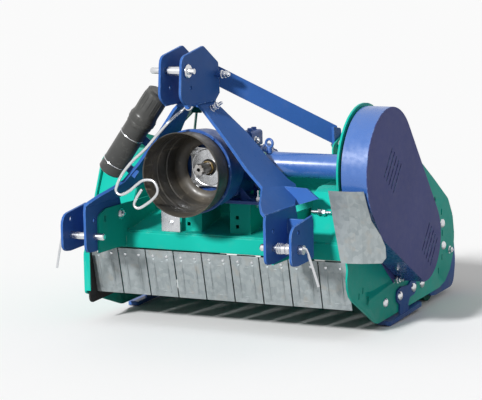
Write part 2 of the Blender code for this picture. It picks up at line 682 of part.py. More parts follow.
def top_pin():
    outside = MAST_GAP / 2 + MAST_SHEET
    hub = pivot("top_pin_axis", Vector((0, TOP_PIN_Y, TOP_PIN_Z)))
    bm = bmesh.new()
    pin_r = TOP_PIN_D / 2
    start = Vector((-outside - 0.014, TOP_PIN_Y, TOP_PIN_Z))
    flange = outside * 2 + 0.014 + SEAT
    lathe(bm, start, (1, 0, 0),
          [(0, 0), (0, pin_r * 0.7), (0.004, pin_r), (flange, pin_r), (flange, 0.021), (flange + 0.004, 0.0215),
           (flange + 0.007, 0.019), (flange + 0.007, pin_r), (flange + 0.024, pin_r * 0.9),
           (flange + 0.024, 0)], 12)
    make("top_link_pin", bm, "zinc", hub)


# Gearbox on its pedestals
PEDESTALS = [(-0.115, -0.045), (0.052, 0.122)]
PEDESTAL_FRONT_Y = 0.040
PEDESTAL_BACK_Y = 0.170
PEDESTAL_SHEET = 0.005
FOOT_BOLTS = [(-0.098, 0.060), (-0.098, 0.150), (0.140, 0.060), (0.140, 0.150)]


def deck_height(y):
    """Upper face of the sloping deck."""
    (y0, z0), (y1, z1) = HOOD_LINE[1], DECK_END
    return z0 + (z1 - z0) * (y - y0) / (y1 - y0) + HOOD_SHEET / 2 * 1.03


PEDESTAL_TOP = GEARBOX_BOTTOM - FOOT_SHEET - SEAT


def pedestal_fronts(bm):
    """Front walls of the two posts under the gearbox, with square holes, sunk in the deck."""
    for low, high in PEDESTALS:
        mid = (low + high) / 2 - 0.010
        foot = deck_height(PEDESTAL_FRONT_Y + PEDESTAL_SHEET) - HOOD_SHEET / 2
        squares = [circle((mid, foot + rise), 0.008, 4, math.pi / 4) for rise in (0.024, 0.052)]
        plate(bm, "y", [(low, foot), (high, foot), (high, PEDESTAL_TOP), (low, PEDESTAL_TOP)],
              PEDESTAL_FRONT_Y, PEDESTAL_FRONT_Y + PEDESTAL_SHEET, squares)


def pedestal_sides(bm):
    start = PEDESTAL_FRONT_Y + PEDESTAL_SHEET / 2
    sunk = HOOD_SHEET / 2
    for low, high in PEDESTALS:
        for edge in (low, high - PEDESTAL_SHEET):
            plate(bm, "x", [(start, deck_height(start) - sunk), (PEDESTAL_BACK_Y, deck_height(PEDESTAL_BACK_Y) - sunk),
                            (PEDESTAL_BACK_Y, PEDESTAL_TOP), (start, PEDESTAL_TOP)], edge, edge + PEDESTAL_SHEET)


def gearbox():
    bm = bmesh.new()
    half = GEARBOX_HALF_WIDTH
    body = rounded([(-half, GEARBOX_BOTTOM + 0.012, 0.015), (-half, GEARBOX_TOP - 0.02, 0.035),
                    (half, GEARBOX_TOP - 0.02, 0.035), (half, GEARBOX_BOTTOM + 0.012, 0.015)])
    plate(bm, "y", body, GEARBOX_FRONT + 0.02, GEARBOX_BACK)
    reach = half + GEARBOX_OUTLET
    lumps = [
        shape(rod, (0, GEARBOX_FRONT, DRIVE_Z), (0, GEARBOX_FRONT + 0.03, DRIVE_Z), 0.070, 20),
        shape(rod, (half - 0.01, DRIVE_Y, DRIVE_Z), (reach, DRIVE_Y, DRIVE_Z), 0.056, 18),
        shape(rod, (0, GEARBOX_BACK - 0.01, DRIVE_Z), (0, GEARBOX_BACK + 0.012, DRIVE_Z), 0.050, 16),
        shape(box, (-0.118, 0.032, GEARBOX_BOTTOM - FOOT_SHEET), (0.160, 0.180, GEARBOX_BOTTOM)),
        shape(box, (-0.060, 0.050, GEARBOX_BOTTOM - 0.001), (0.060, 0.170, GEARBOX_BOTTOM + 0.02))]
    bores = bmesh.new()
    rod(bores, (0, GEARBOX_FRONT - 0.01, DRIVE_Z), (0, STUB_BACK_Y + 0.001, DRIVE_Z),
        (STUB_D / 2 + RUNNING) / math.cos(math.pi / 16), 16)
    rod(bores, (half + 0.01, DRIVE_Y, DRIVE_Z), (reach + 0.01, DRIVE_Y, DRIVE_Z), DRIVE_SHAFT_R + 0.002, 12)
    for x, y in FOOT_BOLTS:
        rod(bores, (x, y, GEARBOX_BOTTOM - 0.02), (x, y, GEARBOX_BOTTOM + 0.01), BOLT_HOLE_R, 8)
    make("gearbox_housing", carved(fused(bm, *lumps), bores), "cast_blue")

    bm = bmesh.new()
    low = GEARBOX_TOP - 0.02 + SEAT
    plate(bm, "z", rounded([(-0.052, 0.055, 0.01), (0.052, 0.055, 0.01), (0.052, 0.190, 0.01), (-0.052, 0.190, 0.01)]),
          low, low + 0.010)
    plug = shape(lathe, (0.0, DRIVE_Y - 0.02, low + 0.009), (0, 0, 1),
                 [(0, 0), (0, 0.011), (0.008, 0.011), (0.008, 0.007), (0.019, 0.007), (0.019, 0.010),
                  (0.025, 0.008), (0.025, 0)], 12)
    make("gearbox_cover", fused(bm, plug), "cast_blue")


def input_shaft():
    hub = pivot("input_shaft_axis", Vector((0, STUB_END_Y, DRIVE_Z)))
    bm = bmesh.new()
    outline = []
    outer, inner = STUB_D / 2, STUB_D / 2 - 0.003
    for k in range(SPLINES):
        base = math.tau * k / SPLINES
        outline += [Vector((r * math.cos(base + a), DRIVE_Z + r * math.sin(base + a)))
                    for a, r in ((-0.30, outer), (0.0, outer), (0.30, outer), (0.36, inner), (0.69, inner))]
    plate(bm, "y", outline, STUB_END_Y, STUB_BACK_Y, [circle((0, DRIVE_Z), 0.006, 8)])
    make("input_shaft", bm, "steel", hub)


def drive_shield():
    bm = bmesh.new()
    depth = SHIELD_BACK_Y - SHIELD_FRONT_Y
    back_r, hole_r = SHIELD_R - 0.010, 0.072
    outer = [(0, SHIELD_R), (0.012, SHIELD_R), (0.014, SHIELD_R - 0.003), (0.070, SHIELD_R - 0.005),
             (0.074, SHIELD_R - 0.009), (0.120, SHIELD_R - 0.011), (0.124, back_r - 0.005),
             (depth - 0.020, back_r - 0.008), (depth - 0.004, back_r - 0.022), (depth, hole_r + 0.012),
             (depth, hole_r)]
    inner = [(depth - SHIELD_WALL, hole_r), (depth - SHIELD_WALL, hole_r + 0.011),
             (depth - 0.021, back_r - 0.011), (0.072, SHIELD_R - 0.012), (0, SHIELD_R - 0.004)]
    lathe(bm, (0, SHIELD_FRONT_Y, DRIVE_Z), (0, 1, 0), outer + inner, 24)
    make("drive_shield", bm, "black_plastic")

    bm = bmesh.new()
    front = SHIELD_BACK_Y + SEAT
    outline = []
    for k in range(4):
        base = math.pi / 4 + k * math.pi / 2
        outline += [Vector((r * math.cos(base + a), DRIVE_Z + r * math.sin(base + a)))
                    for a, r in ((-0.78, 0.058), (-0.30, 0.068), (-0.14, 0.0825), (0.14, 0.0825), (0.30, 0.068))]
    bolts = [circle((0.072 * math.cos(math.pi / 4 + k * math.pi / 2),
                     DRIVE_Z + 0.072 * math.sin(math.pi / 4 + k * math.pi / 2)), 0.0045, 8) for k in range(4)]
    plate(bm, "y", outline, front, GEARBOX_FRONT - SEAT, [circle((0, DRIVE_Z), STUB_D / 2 + 0.008, 16)] + bolts)
    make("shield_flange", bm, "zinc")


# Drive tube, shaft, pulleys and belts
def drive_line():
    inner_end = GEARBOX_HALF_WIDTH + GEARBOX_OUTLET + SEAT
    bm = bmesh.new()
    length = BODY_RIGHT - SEAT - inner_end
    bore = DRIVE_TUBE_R - 0.006
    lathe(bm, (inner_end, DRIVE_Y, DRIVE_Z), (1, 0, 0),
          [(0, bore), (0, 0.062), (0.010, 0.062), (0.012, 0.052), (0.045, DRIVE_TUBE_R), (length, DRIVE_TUBE_R),
           (length, bore)], 20)
    make("drive_tube", bm, "blue")

    hub = pivot("drive_shaft_axis", Vector((PULLEY_MID_X, DRIVE_Y, DRIVE_Z)))
    bm = bmesh.new()
    rod(bm, (GEARBOX_HALF_WIDTH + 0.012, DRIVE_Y, DRIVE_Z), (PULLEY_MID_X + 0.026, DRIVE_Y, DRIVE_Z),
        DRIVE_SHAFT_R, 16)
    make("drive_shaft", bm, "steel", hub)
    bm = bmesh.new()
    pulley(bm, (DRIVE_Y, DRIVE_Z), UPPER_PULLEY_R, DRIVE_SHAFT_R + RUNNING, 20)
    make("upper_pulley", bm, "iron", hub)


def pulley(bm, place, rim_r, bore_r, sides):
    """A grooved pulley: hub, web and one V groove for each belt."""
    half = BELT_COUNT * BELT_PITCH_X / 2
    profile = [(-half, bore_r), (-half, bore_r + 0.012), (-0.005, bore_r + 0.014), (-0.005, rim_r - 0.022),
               (-half, rim_r - 0.020), (-half, rim_r)]
    for k in range(BELT_COUNT):
        mid = (k - (BELT_COUNT - 1) / 2) * BELT_PITCH_X
        top = BELT_WIDTH / 2 + SEAT * 2
        profile += [(mid - top, rim_r), (mid - top + 0.003, rim_r - BELT_DEPTH - 0.002),
                    (mid + top - 0.003, rim_r - BELT_DEPTH - 0.002), (mid + top, rim_r)]
    profile += [(half, rim_r), (half, rim_r - 0.020), (0.005, rim_r - 0.022), (0.005, bore_r + 0.014),
                (half, bore_r + 0.012), (half, bore_r)]
    lathe(bm, (PULLEY_MID_X, place[0], place[1]), (1, 0, 0), profile, sides)


def belt_path(out):
    """Closed line round both pulleys, out from their rims, whose facets touch that radius."""
    up, low = Vector((DRIVE_Y, DRIVE_Z)), Vector((ROTOR_Y, ROTOR_Z))
    run = low - up
    heading = math.degrees(math.atan2(run.y, run.x))
    wrap = math.degrees(math.acos((UPPER_PULLEY_R - LOWER_PULLEY_R) / run.length))
    line = []
    for middle, radius, first, last, steps in ((up, UPPER_PULLEY_R, heading + wrap, heading + 360 - wrap, 14),
                                               (low, LOWER_PULLEY_R, heading - wrap, heading + wrap, 10)):
        step = (last - first) / steps
        fair = (radius + out) / math.cos(math.radians(step / 2))
        line += arc(middle, fair, first, last, steps)
    return line


def belts():
    """A banded pair of V-belts: one V for each groove on a common back."""
    section = []
    for k in range(BELT_COUNT):
        mid = PULLEY_MID_X + (k - (BELT_COUNT - 1) / 2) * BELT_PITCH_X
        half = BELT_WIDTH / 2 - SEAT
        section += [(mid - half, SEAT), (mid - half + 0.003, -BELT_DEPTH), (mid + half - 0.003, -BELT_DEPTH),
                    (mid + half, SEAT)]
    band = BELT_COUNT * BELT_PITCH_X / 2 - 0.003
    section += [(PULLEY_MID_X + band, SEAT), (PULLEY_MID_X + band, BELT_BACK), (PULLEY_MID_X - band, BELT_BACK),
                (PULLEY_MID_X - band, SEAT)]
    bm = bmesh.new()
    rings = []
    for x, out in section:
        rings.append([bm.verts.new((x, p.x, p.y)) for p in belt_path(out)])
    for k, one in enumerate(rings):
        for s in range(len(one)):
            bm.faces.new((rings[k - 1][s - 1], rings[k - 1][s], one[s], one[s - 1]))
    make("drive_belts", bm, "rubber")


def idler():
    """Belt tensioner: an arm on the side plate with a wheel against the inside of the front run."""
    up, low = Vector((DRIVE_Y, DRIVE_Z)), Vector((ROTOR_Y, ROTOR_Z))
    run = (low - up)
    heading = math.atan2(run.y, run.x)
    wrap = math.acos((UPPER_PULLEY_R - LOWER_PULLEY_R) / run.length)
    normal = Vector((math.cos(heading - wrap), math.sin(heading - wrap)))
    along = Vector((-normal.y, normal.x))
    if along.dot(run) < 0:
        along = -along
    wheel = up + normal * (UPPER_PULLEY_R - BELT_DEPTH - IDLER_R - SEAT) + along * IDLER_PLACE
    arm_hub = Vector(IDLER_PIVOT)
    hub = pivot("idler_arm_axis", Vector((IDLER_ARM_X, arm_hub.x, arm_hub.y)))
    bm = bmesh.new()
    arm_run = wheel - arm_hub
    side = Vector((-arm_run.y, arm_run.x)).normalized()
    outline = []
    for centre, radius, flip in ((arm_hub, 0.016, 1), (wheel, 0.012, -1)):
        base = math.degrees(math.atan2(side.y, side.x)) + (0 if flip > 0 else 180)
        outline += arc(centre, radius, base, base + 180, 6)
    x0 = IDLER_ARM_X
    plate(bm, "x", outline, x0, x0 + IDLER_SHEET, [circle(arm_hub, 0.008 + RUNNING, 12), circle(wheel, 0.006 + RUNNING, 12)])
    make("idler_arm", bm, "steel", hub)
    hub2 = pivot("idler_wheel_axis", Vector((PULLEY_MID_X, wheel.x, wheel.y)))
    bm = bmesh.new()
    lathe(bm, (x0 - 0.003, wheel.x, wheel.y), (1, 0, 0),
          [(0, 0), (0, 0.009), (0.003 - SEAT, 0.009), (0.003 - SEAT, 0.006), (0.009 + SEAT, 0.006),
           (0.009 + SEAT, 0.010), (PULLEY_MID_X - 0.020 - x0 + 0.003, 0.010),
           (PULLEY_MID_X - 0.020 - x0 + 0.003, IDLER_R), (PULLEY_MID_X + 0.020 - x0 + 0.003, IDLER_R),
           (PULLEY_MID_X + 0.020 - x0 + 0.003, 0)], 14)
    make("idler_wheel", bm, "iron", hub2)


# Belt cover on the right side plate
COVER_BOLTS = [(0.300, 0.2030), (0.040, 0.400)]
COVER_BOLT_R = 0.004
COVER_SPACER_R = 0.0068
LOUVRES = 5
COVER_SIDE = 222          # where the top arc ends, in degrees
COVER_FOOT_SLOPE = -0.561


def cover_outline(shrink=0.0):
    """The cover's face: two arcs, a straight back, and a straight foot with two corners."""
    up, low = Vector((DRIVE_Y, DRIVE_Z)), Vector((ROTOR_Y, ROTOR_Z))
    top_r, low_r = COVER_TOP_R - shrink, COVER_LOW_R - shrink
    run = low - up
    heading = math.degrees(math.atan2(run.y, run.x))
    wrap = math.degrees(math.acos((top_r - low_r) / run.length))
    side = math.radians(COVER_SIDE)
    left = up + top_r * Vector((math.cos(side), math.sin(side)))
    fall = math.tan(side + math.pi / 2)
    bottom = low.y - low_r
    foot = low + Vector((-0.2016, -0.0277)) + Vector((0, shrink * math.hypot(1, COVER_FOOT_SLOPE)))
    knee_y = (foot.y - left.y - COVER_FOOT_SLOPE * foot.x + fall * left.x) / (fall - COVER_FOOT_SLOPE)
    knee = Vector((knee_y, foot.y + COVER_FOOT_SLOPE * (knee_y - foot.x)))
    corner = Vector((foot.x + (bottom - foot.y) / COVER_FOOT_SLOPE, bottom))
    return (arc(up, top_r, heading + wrap, COVER_SIDE, 18) + [knee, corner]
            + arc(low, low_r, -90, heading + wrap, 10))


def belt_cover():
    bm = bmesh.new()
    outer = cover_outline()
    inner = cover_outline(COVER_SHEET)
    louvres = []
    for y0, z0 in ((0.160, 0.560), (0.420, 0.306)):
        for k in range(LOUVRES):
            a = Vector((y0 + k * 0.014, z0 - k * 0.016))
            b = a + Vector((-0.030, -0.078))
            side = Vector((0.0012, -0.0005))
            louvres.append([a - side, a + side, b + side, b - side])
    plate(bm, "x", outer, COVER_OUTER_X - COVER_SHEET, COVER_OUTER_X, louvres)
    wall = shape(plate, "x", outer, COVER_INNER_X, COVER_OUTER_X - COVER_SHEET / 2, [inner])
    spacers, bores = [], bmesh.new()
    for place in COVER_BOLTS:
        seat = BODY_RIGHT + PLATE_SHEET + SEAT
        spacers.append(shape(rod, (seat, *place), (COVER_OUTER_X - COVER_SHEET / 2, *place), COVER_SPACER_R, 10))
        rod(bores, (seat - 0.01, *place), (COVER_OUTER_X + 0.01, *place), COVER_BOLT_R + SEAT, 8)
    make("belt_cover", carved(fused(bm, wall, *spacers), bores), "blue")


# Galvanised deflector in front of the cover's foot
DEFLECTOR_SHEET = 0.002
DEFLECTOR_X = BODY_RIGHT + PLATE_SHEET + SEAT


def plate_front(z):
    """Where the right plate's front edge is at a height."""
    rim = COVER_TOP_R + BACK_RIM
    turn = math.radians(PLATE_TURN)
    knee = Vector((DRIVE_Y, DRIVE_Z)) + rim * Vector((math.cos(turn), math.sin(turn)))
    if z > knee.y:
        return DRIVE_Y - math.sqrt(rim ** 2 - (z - DRIVE_Z) ** 2)
    foot = Vector(LOWER_CORNERS[-1][:2])
    return knee.x + (foot.x - knee.x) * (z - knee.y) / (foot.y - knee.y)


DEFLECTOR_ROWS = [
    # height, front place, inner end, outer end
    (z, plate_front(z) - ahead, DEFLECTOR_X - past, COVER_OUTER_X + over) for z, ahead, past, over in (
        (0.476, 0.0193, 0.0255, -0.0082), (0.430, 0.0178, 0.0250, -0.0047), (0.385, 0.0048, 0.0247, -0.0003),
        (0.340, 0.0048, 0.0180, 0.0223), (0.305, 0.0048, 0.0127, 0.0339), (0.272, 0.0050, 0.0080, 0.0346),
        (0.256, 0.0056, 0.0040, 0.0236))]
DEFLECTOR_BENDS = [(0.030, 0.000), (0.062, 0.008)]
TAB_BOLTS = [(plate_front(0.400) + 0.028, 0.400), (plate_front(0.300) + 0.050, 0.300)]


def deflector():
    bm = bmesh.new()
    sheets = []
    for depth in (0.0, DEFLECTOR_SHEET):
        rows = []
        for z, y, inner, outer in DEFLECTOR_ROWS:
            line = [(inner, y + depth, z)]
            line += [(DEFLECTOR_X + x, y + back + depth, z) for x, back in DEFLECTOR_BENDS]
            past = outer - DEFLECTOR_X - DEFLECTOR_BENDS[-1][0]
            line.append((outer, y + DEFLECTOR_BENDS[-1][1] + past * 0.55 + depth, z))
            rows.append([bm.verts.new(p) for p in line])
        sheets.append(rows)
    front, back = sheets
    last = len(front) - 1
    wide = len(front[0]) - 1
    for i in range(last):
        for j in range(wide):
            bm.faces.new((front[i][j], front[i][j + 1], front[i + 1][j + 1], front[i + 1][j]))
            bm.faces.new((back[i + 1][j], back[i + 1][j + 1], back[i][j + 1], back[i][j]))
        bm.faces.new((front[i][0], front[i + 1][0], back[i + 1][0], back[i][0]))
        bm.faces.new((front[i + 1][wide], front[i][wide], back[i][wide], back[i + 1][wide]))
    for j in range(wide):
        bm.faces.new((front[0][j + 1], front[0][j], back[0][j], back[0][j + 1]))
        bm.faces.new((front[last][j], front[last][j + 1], back[last][j + 1], back[last][j]))
    inset = DEFLECTOR_SHEET / 2
    front = [(y + inset, z) for z, y, _, _ in DEFLECTOR_ROWS[1:-1]]
    tab = front + [(front[-1][0] + 0.068, front[-1][1] + 0.012), (front[0][0] + 0.060, front[0][1] - 0.010)]
    flange = shape(plate, "x", tab, DEFLECTOR_X, DEFLECTOR_X + DEFLECTOR_SHEET, bolt_holes(TAB_BOLTS, COVER_BOLT_R + SEAT))
    make("deflector", fused(bm, flange), "galvanised")


# Rotor: tube, stub shafts, hammer lugs and the bolts that the hammers swing on
ROWS = [math.radians(a) for a in (45, -135, 135, -45)]
HAMMER_LEFT_CLEAR = 0.0410   # between the left side plate and the first hammer
HAMMER_RIGHT_CLEAR = 0.0413  # between the last hammer and the right side plate


def hammer_place(k):
    row = ROWS[k % len(ROWS)]
    first = BODY_LEFT + HAMMER_LEFT_CLEAR + HAMMER_WIDTH / 2
    last = BODY_RIGHT - HAMMER_RIGHT_CLEAR - HAMMER_WIDTH / 2
    return Vector((first + (last - first) * k / (HAMMER_COUNT - 1), ROTOR_Y + PIVOT_R * math.cos(row),
                   ROTOR_Z + PIVOT_R * math.sin(row))), row


def rotor():
    hub = pivot("rotor_axis", Vector((0, ROTOR_Y, ROTOR_Z)))
    bm = bmesh.new()
    tube_left, tube_right = BODY_LEFT + 0.010, BODY_RIGHT - 0.010
    stub_left, stub_right = BODY_LEFT - PLATE_SHEET - 0.026, PULLEY_MID_X + 0.028
    lathe(bm, (stub_left, ROTOR_Y, ROTOR_Z), (1, 0, 0),
          [(0, 0), (0, ROTOR_STUB_R), (tube_left - stub_left, ROTOR_STUB_R), (tube_left - stub_left, ROTOR_TUBE_R),
           (tube_right - stub_left, ROTOR_TUBE_R), (tube_right - stub_left, ROTOR_STUB_R),
           (stub_right - stub_left, ROTOR_STUB_R), (stub_right - stub_left, 0)], 24)
    lugs, bolts = bmesh.new(), bmesh.new()
    bolt_half = HAMMER_EYE_WIDTH / 2 + SEAT * 3 + LUG_SHEET
    for k in range(HAMMER_COUNT):
        place, row = hammer_place(k)
        out = Vector((math.cos(row), math.sin(row)))
        side = Vector((-out.y, out.x))
        centre = Vector((ROTOR_Y, ROTOR_Z))
        eye = centre + out * PIVOT_R
        root_r = ROTOR_TUBE_R * 0.80
        outline = [centre + out * root_r + side * reach for reach in (-0.024, 0.024)]
        tip = arc(eye, 0.017, math.degrees(row) + 80, math.degrees(row) - 80, 4)
        for end in (-1, 1):
            face = place.x + end * (HAMMER_EYE_WIDTH / 2 + SEAT * 3)
            ends = sorted((face, face + end * LUG_SHEET))
            plate(lugs, "x", outline + tip, *ends)
        rod(bolts, place - Vector((bolt_half - LUG_SHEET / 2, 0, 0)),
            place + Vector((bolt_half - LUG_SHEET / 2, 0, 0)), HAMMER_BOLT_R, 8)
    make("rotor", fused(bm, lugs, bolts), "dark_green", hub)
    bm = bmesh.new()
    pulley(bm, (ROTOR_Y, ROTOR_Z), LOWER_PULLEY_R, ROTOR_STUB_R + RUNNING, 20)
    make("lower_pulley", bm, "iron", hub)
    for k in range(HAMMER_COUNT):
        hammer(k)


def hammer(k):
    """A cast hammer: an eye, a shank that widens, and a thick cutting edge; it hangs down."""
    place, _ = hammer_place(k)
    hub = pivot("hammer_%d_axis" % (k + 1), place)
    eye, half, thick = HAMMER_EYE_WIDTH / 2, HAMMER_WIDTH / 2, 0.010
    sections = [(-HAMMER_EYE_R * 0.75, eye - 0.0002, 0.0075), (-0.050, eye - 0.0005, thick),
                (-0.066, half, thick), (-HAMMER_REACH, half, 0.003)]
    shank = bmesh.new()
    rings = [[shank.verts.new(place + Vector((x, y, z)))
              for x, y in ((-wide, -deep), (wide, -deep), (wide, deep), (-wide, deep))]
             for z, wide, deep in sections]
    for a, b in zip(rings, rings[1:]):
        for s in range(4):
            shank.faces.new((a[s - 1], a[s], b[s], b[s - 1]))
    shank.faces.new(rings[0][::-1])
    shank.faces.new(rings[-1])
    barrel = shape(rod, place - Vector((eye, 0, 0)), place + Vector((eye, 0, 0)), HAMMER_EYE_R, 10)
    bore = shape(rod, place - Vector((half, 0, 0)), place + Vector((half, 0, 0)), HAMMER_BOLT_R + RUNNING, 10)
    make("hammer_%d" % (k + 1), carved(fused(barrel, shank), bore), "iron", hub)


def rotor_bearings():
    for face, out, name in ((BODY_LEFT - PLATE_SHEET - SEAT, -1, "rotor_bearing_left"),
                            (BODY_RIGHT + PLATE_SHEET + SEAT, 1, "rotor_bearing_right")):
        bm = bmesh.new()
        lathe(bm, (face, ROTOR_Y, ROTOR_Z), (out, 0, 0),
              [(0, ROTOR_STUB_R + RUNNING), (0, 0.058), (0.008, 0.058), (0.010, 0.040), (0.020, 0.036),
               (0.020, ROTOR_STUB_R + RUNNING)], 16)
        make(name, bm, "cast_blue")


# Front flaps on their rod
def flaps():
    start = BODY_LEFT + FLAP_LEFT_CLEAR
    pitch = (BODY_RIGHT - FLAP_RIGHT_CLEAR - start + FLAP_GAP) / FLAP_COUNT
    for k in range(FLAP_COUNT):
        left = start + pitch * k
        right = left + pitch - FLAP_GAP
        hub = pivot("flap_%d_axis" % (k + 1), Vector(((left + right) / 2, FLAP_ROD_Y, FLAP_ROD_Z)))
        bm = bmesh.new()
        lean = Matrix.Rotation(FLAP_LEAN, 4, "X")
        middle = Vector(((left + right) / 2, FLAP_ROD_Y, FLAP_ROD_Z))

        def at(x, out, down):
            """Place on the flap: across, forward of the rod, and down from the rod."""
            return middle + lean @ Vector((x, -out, -down))

        half = (right - left) / 2
        eye_r = FLAP_ROD_R + 0.0040
        sheet_back = eye_r - 0.0006
        sheet_front = sheet_back + FLAP_SHEET
        top, bottom = -0.0115, FLAP_LENGTH - 0.0115
        details = bmesh.new()
        outer = [(sheet_back, top), (sheet_front, top), (sheet_front, bottom), (sheet_back, bottom)]
        rings = [[bm.verts.new(at(x, out, down)) for out, down in outer] for x in (-half, half)]
        for s in range(4):
            bm.faces.new((rings[0][s - 1], rings[0][s], rings[1][s], rings[1][s - 1]))
        bm.faces.new(rings[0])
        bm.faces.new(rings[1][::-1])
        for x in (-0.024, 0.024):
            rib = []
            for out, wide, short in ((sheet_front - 0.001, 0.0055, 0.0), (sheet_front + 0.0022, 0.0020, 0.003)):
                rib.append([details.verts.new(at(x + dx, out, down))
                            for dx, down in ((-wide, 0.016 + short), (wide, 0.016 + short),
                                             (wide, bottom - 0.014 - short), (-wide, bottom - 0.014 - short))])
            for s in range(4):
                details.faces.new((rib[0][s - 1], rib[0][s], rib[1][s], rib[1][s - 1]))
            details.faces.new(rib[0])
            details.faces.new(rib[1][::-1])
        eye = shape(rod, at(-0.030, 0, 0), at(0.030, 0, 0), eye_r, 8)
        bore = shape(rod, at(-half, 0, 0), at(half, 0, 0), FLAP_ROD_R + RUNNING, 8)
        make("flap_%d" % (k + 1), carved(fused(bm, details, eye), bore), "galvanised", hub)
    bm = bmesh.new()
    rod(bm, (BODY_LEFT + SEAT, FLAP_ROD_Y, FLAP_ROD_Z), (BODY_RIGHT - SEAT, FLAP_ROD_Y, FLAP_ROD_Z), FLAP_ROD_R, 12)
    make("flap_rod", bm, "steel")


# Skids, roller and the rubber flap at the rear
SKID_FRONT_Y = 0.250
SKID_REAR_Y = 0.615


def skids():
    face = PLATE_SHEET + SEAT
    for edge, out, name in ((BODY_LEFT, -1, "skid_left"), (BODY_RIGHT, 1, "skid_right")):
        inner = edge - out * 0.020
        outer = inner + out * SKID_WIDTH
        low, high = sorted((inner, outer))
        sole = rounded([(SKID_FRONT_Y, 0.017), (SKID_FRONT_Y - 0.004, 0.006, 0.004), (SKID_FRONT_Y + 0.070, 0.0),
                        (SKID_REAR_Y - 0.075, 0.0), (SKID_REAR_Y, 0.007, 0.004), (SKID_REAR_Y, 0.0175)])
        bm = shape(plate, "x", sole, low, high)
        wall = sorted((edge + out * face, edge + out * (face + 0.006)))
        (y1, z1), (y2, z2) = SKID_BOLTS
        leg = [(y1 + 0.004, 0.0120), (y1 + 0.058, 0.0120), (y1 + 0.058, z1 - 0.004), (y2, z2 - 0.026, 0.020),
               (y2 + 0.030, z2, 0.020), (y2, z2 + 0.026, 0.020), (y1, z1 + 0.026, 0.020),
               (y1 - 0.028, z1, 0.020), (y1 + 0.004, z1 - 0.024, 0.004)]
        make(name, fused(bm, shape(plate, "x", rounded(leg), *wall, bolt_holes(SKID_BOLTS))), "blue")


def roller():
    hub = pivot("roller_axis", Vector((0, ROLLER_Y, ROLLER_R)))
    bm = bmesh.new()
    left, right = BODY_LEFT + 0.020, BODY_RIGHT - 0.020
    lathe(bm, (left, ROLLER_Y, ROLLER_R), (1, 0, 0),
          [(-0.011, 0), (-0.011, 0.010), (0, 0.010), (0, ROLLER_R), (right - left, ROLLER_R), (right - left, 0.010),
           (right - left + 0.011, 0.010), (right - left + 0.011, 0)], 20)
    make("roller", bm, "dark_green", hub)
    outline = rounded([(0.690, 0.022, 0.014), (0.745, 0.016, 0.010), (0.905, 0.020, 0.040), (0.925, 0.100, 0.060),
                       (0.912, 0.170, 0.008), (0.870, 0.172, 0.010), (0.800, 0.105, 0.030), (0.690, 0.085, 0.020)])
    for edge, out, name in ((BODY_LEFT, -1, "roller_bracket_left"), (BODY_RIGHT, 1, "roller_bracket_right")):
        ends = sorted((edge - out * SEAT, edge - out * (SEAT + 0.008)))
        journal = circle((ROLLER_Y, ROLLER_R), 0.010 + RUNNING, 14)
        make(name, shape(plate, "x", outline, *ends, [journal]), "blue")


REAR_FLAP_SHEET = 0.005


def rear_flap():
    """Rubber apron held under the hood's rear edge."""
    bm = bmesh.new()
    last, edge = Vector(HOOD_LINE[-2]), Vector(HOOD_LINE[-1])
    run = (edge - last).normalized()
    under = Vector((run.y, -run.x)) * (HOOD_SHEET / 2 + SEAT + REAR_FLAP_SHEET / 2)
    line = [last + run * 0.014 + under, edge + under, edge + under + Vector((0.035, -0.040)),
            edge + under + Vector((0.068, -0.082)), edge + under + Vector((0.105, -0.116))]
    bent_sheet(bm, line, REAR_FLAP_SHEET,
               BODY_LEFT + 0.012, BODY_RIGHT - 0.012)
    make("rear_flap", bm, "rubber")


# Document tube on the left arm, with its pull-off cap, and the shaft hook
TUBE_LOW = Vector((-0.2690, -0.130, 0.511))
TUBE_HIGH = Vector((-0.0900, -0.130, 0.758))
TUBE_R = 0.038
CAP_SHARE = 0.63
CAP_SPIGOT = 0.025       # how far the tube's neck reaches into the cap


def tube_tabs(bm):
    """Two upright tabs on the left arm, along its front edge, that carry the document tube."""
    run = (TUBE_HIGH - TUBE_LOW).normalized()
    away = Vector((run.z, 0, -run.x))
    back = 0.030
    reach = math.sqrt(TUBE_R ** 2 - (back - 0.004) ** 2) + RUNNING
    for share in (0.12, 0.46):
        near = TUBE_LOW + (TUBE_HIGH - TUBE_LOW) * share
        low, high = near + away * reach, near + away * 0.071
        across = run * 0.013
        ring = [low - across, low + across, high + across, high - across]
        front = [bm.verts.new(p + Vector((0, back - 0.004, 0))) for p in ring]
        rear = [bm.verts.new(p + Vector((0, back, 0))) for p in ring]
        for k in range(4):
            bm.faces.new((front[k - 1], front[k], rear[k], rear[k - 1]))
        bm.faces.new(front)
        bm.faces.new(rear[::-1])


def document_tube():
    run = TUBE_HIGH - TUBE_LOW
    out = run.normalized()
    split = run.length * CAP_SHARE
    bm = bmesh.new()
    lathe(bm, TUBE_LOW, out, [(0, 0), (0, TUBE_R - 0.004), (0.004, TUBE_R), (split, TUBE_R), (split, TUBE_R - 0.003),
                              (split + CAP_SPIGOT, TUBE_R - 0.003), (split + CAP_SPIGOT, TUBE_R - 0.006), (0.006, TUBE_R - 0.006),
                              (0.006, 0)], 20)
    make("document_tube", bm, "grey_plastic")
    hub = pivot("cap_axis", TUBE_LOW + out * (split + SEAT))
    bm = bmesh.new()
    length = run.length - split
    bore = TUBE_R - 0.003 + RUNNING
    lathe(bm, TUBE_LOW + out * (split + SEAT), out,
          [(0, bore), (0, TUBE_R + 0.004), (0.022, TUBE_R + 0.005), (0.030, TUBE_R + 0.0015), (length - 0.012, TUBE_R - 0.001),
           (length - 0.003, TUBE_R - 0.006), (length, TUBE_R - 0.012), (length, 0), (length - 0.004, 0),
           (length - 0.004, bore)], 20)
    make("document_cap", bm, "grey_plastic", hub)


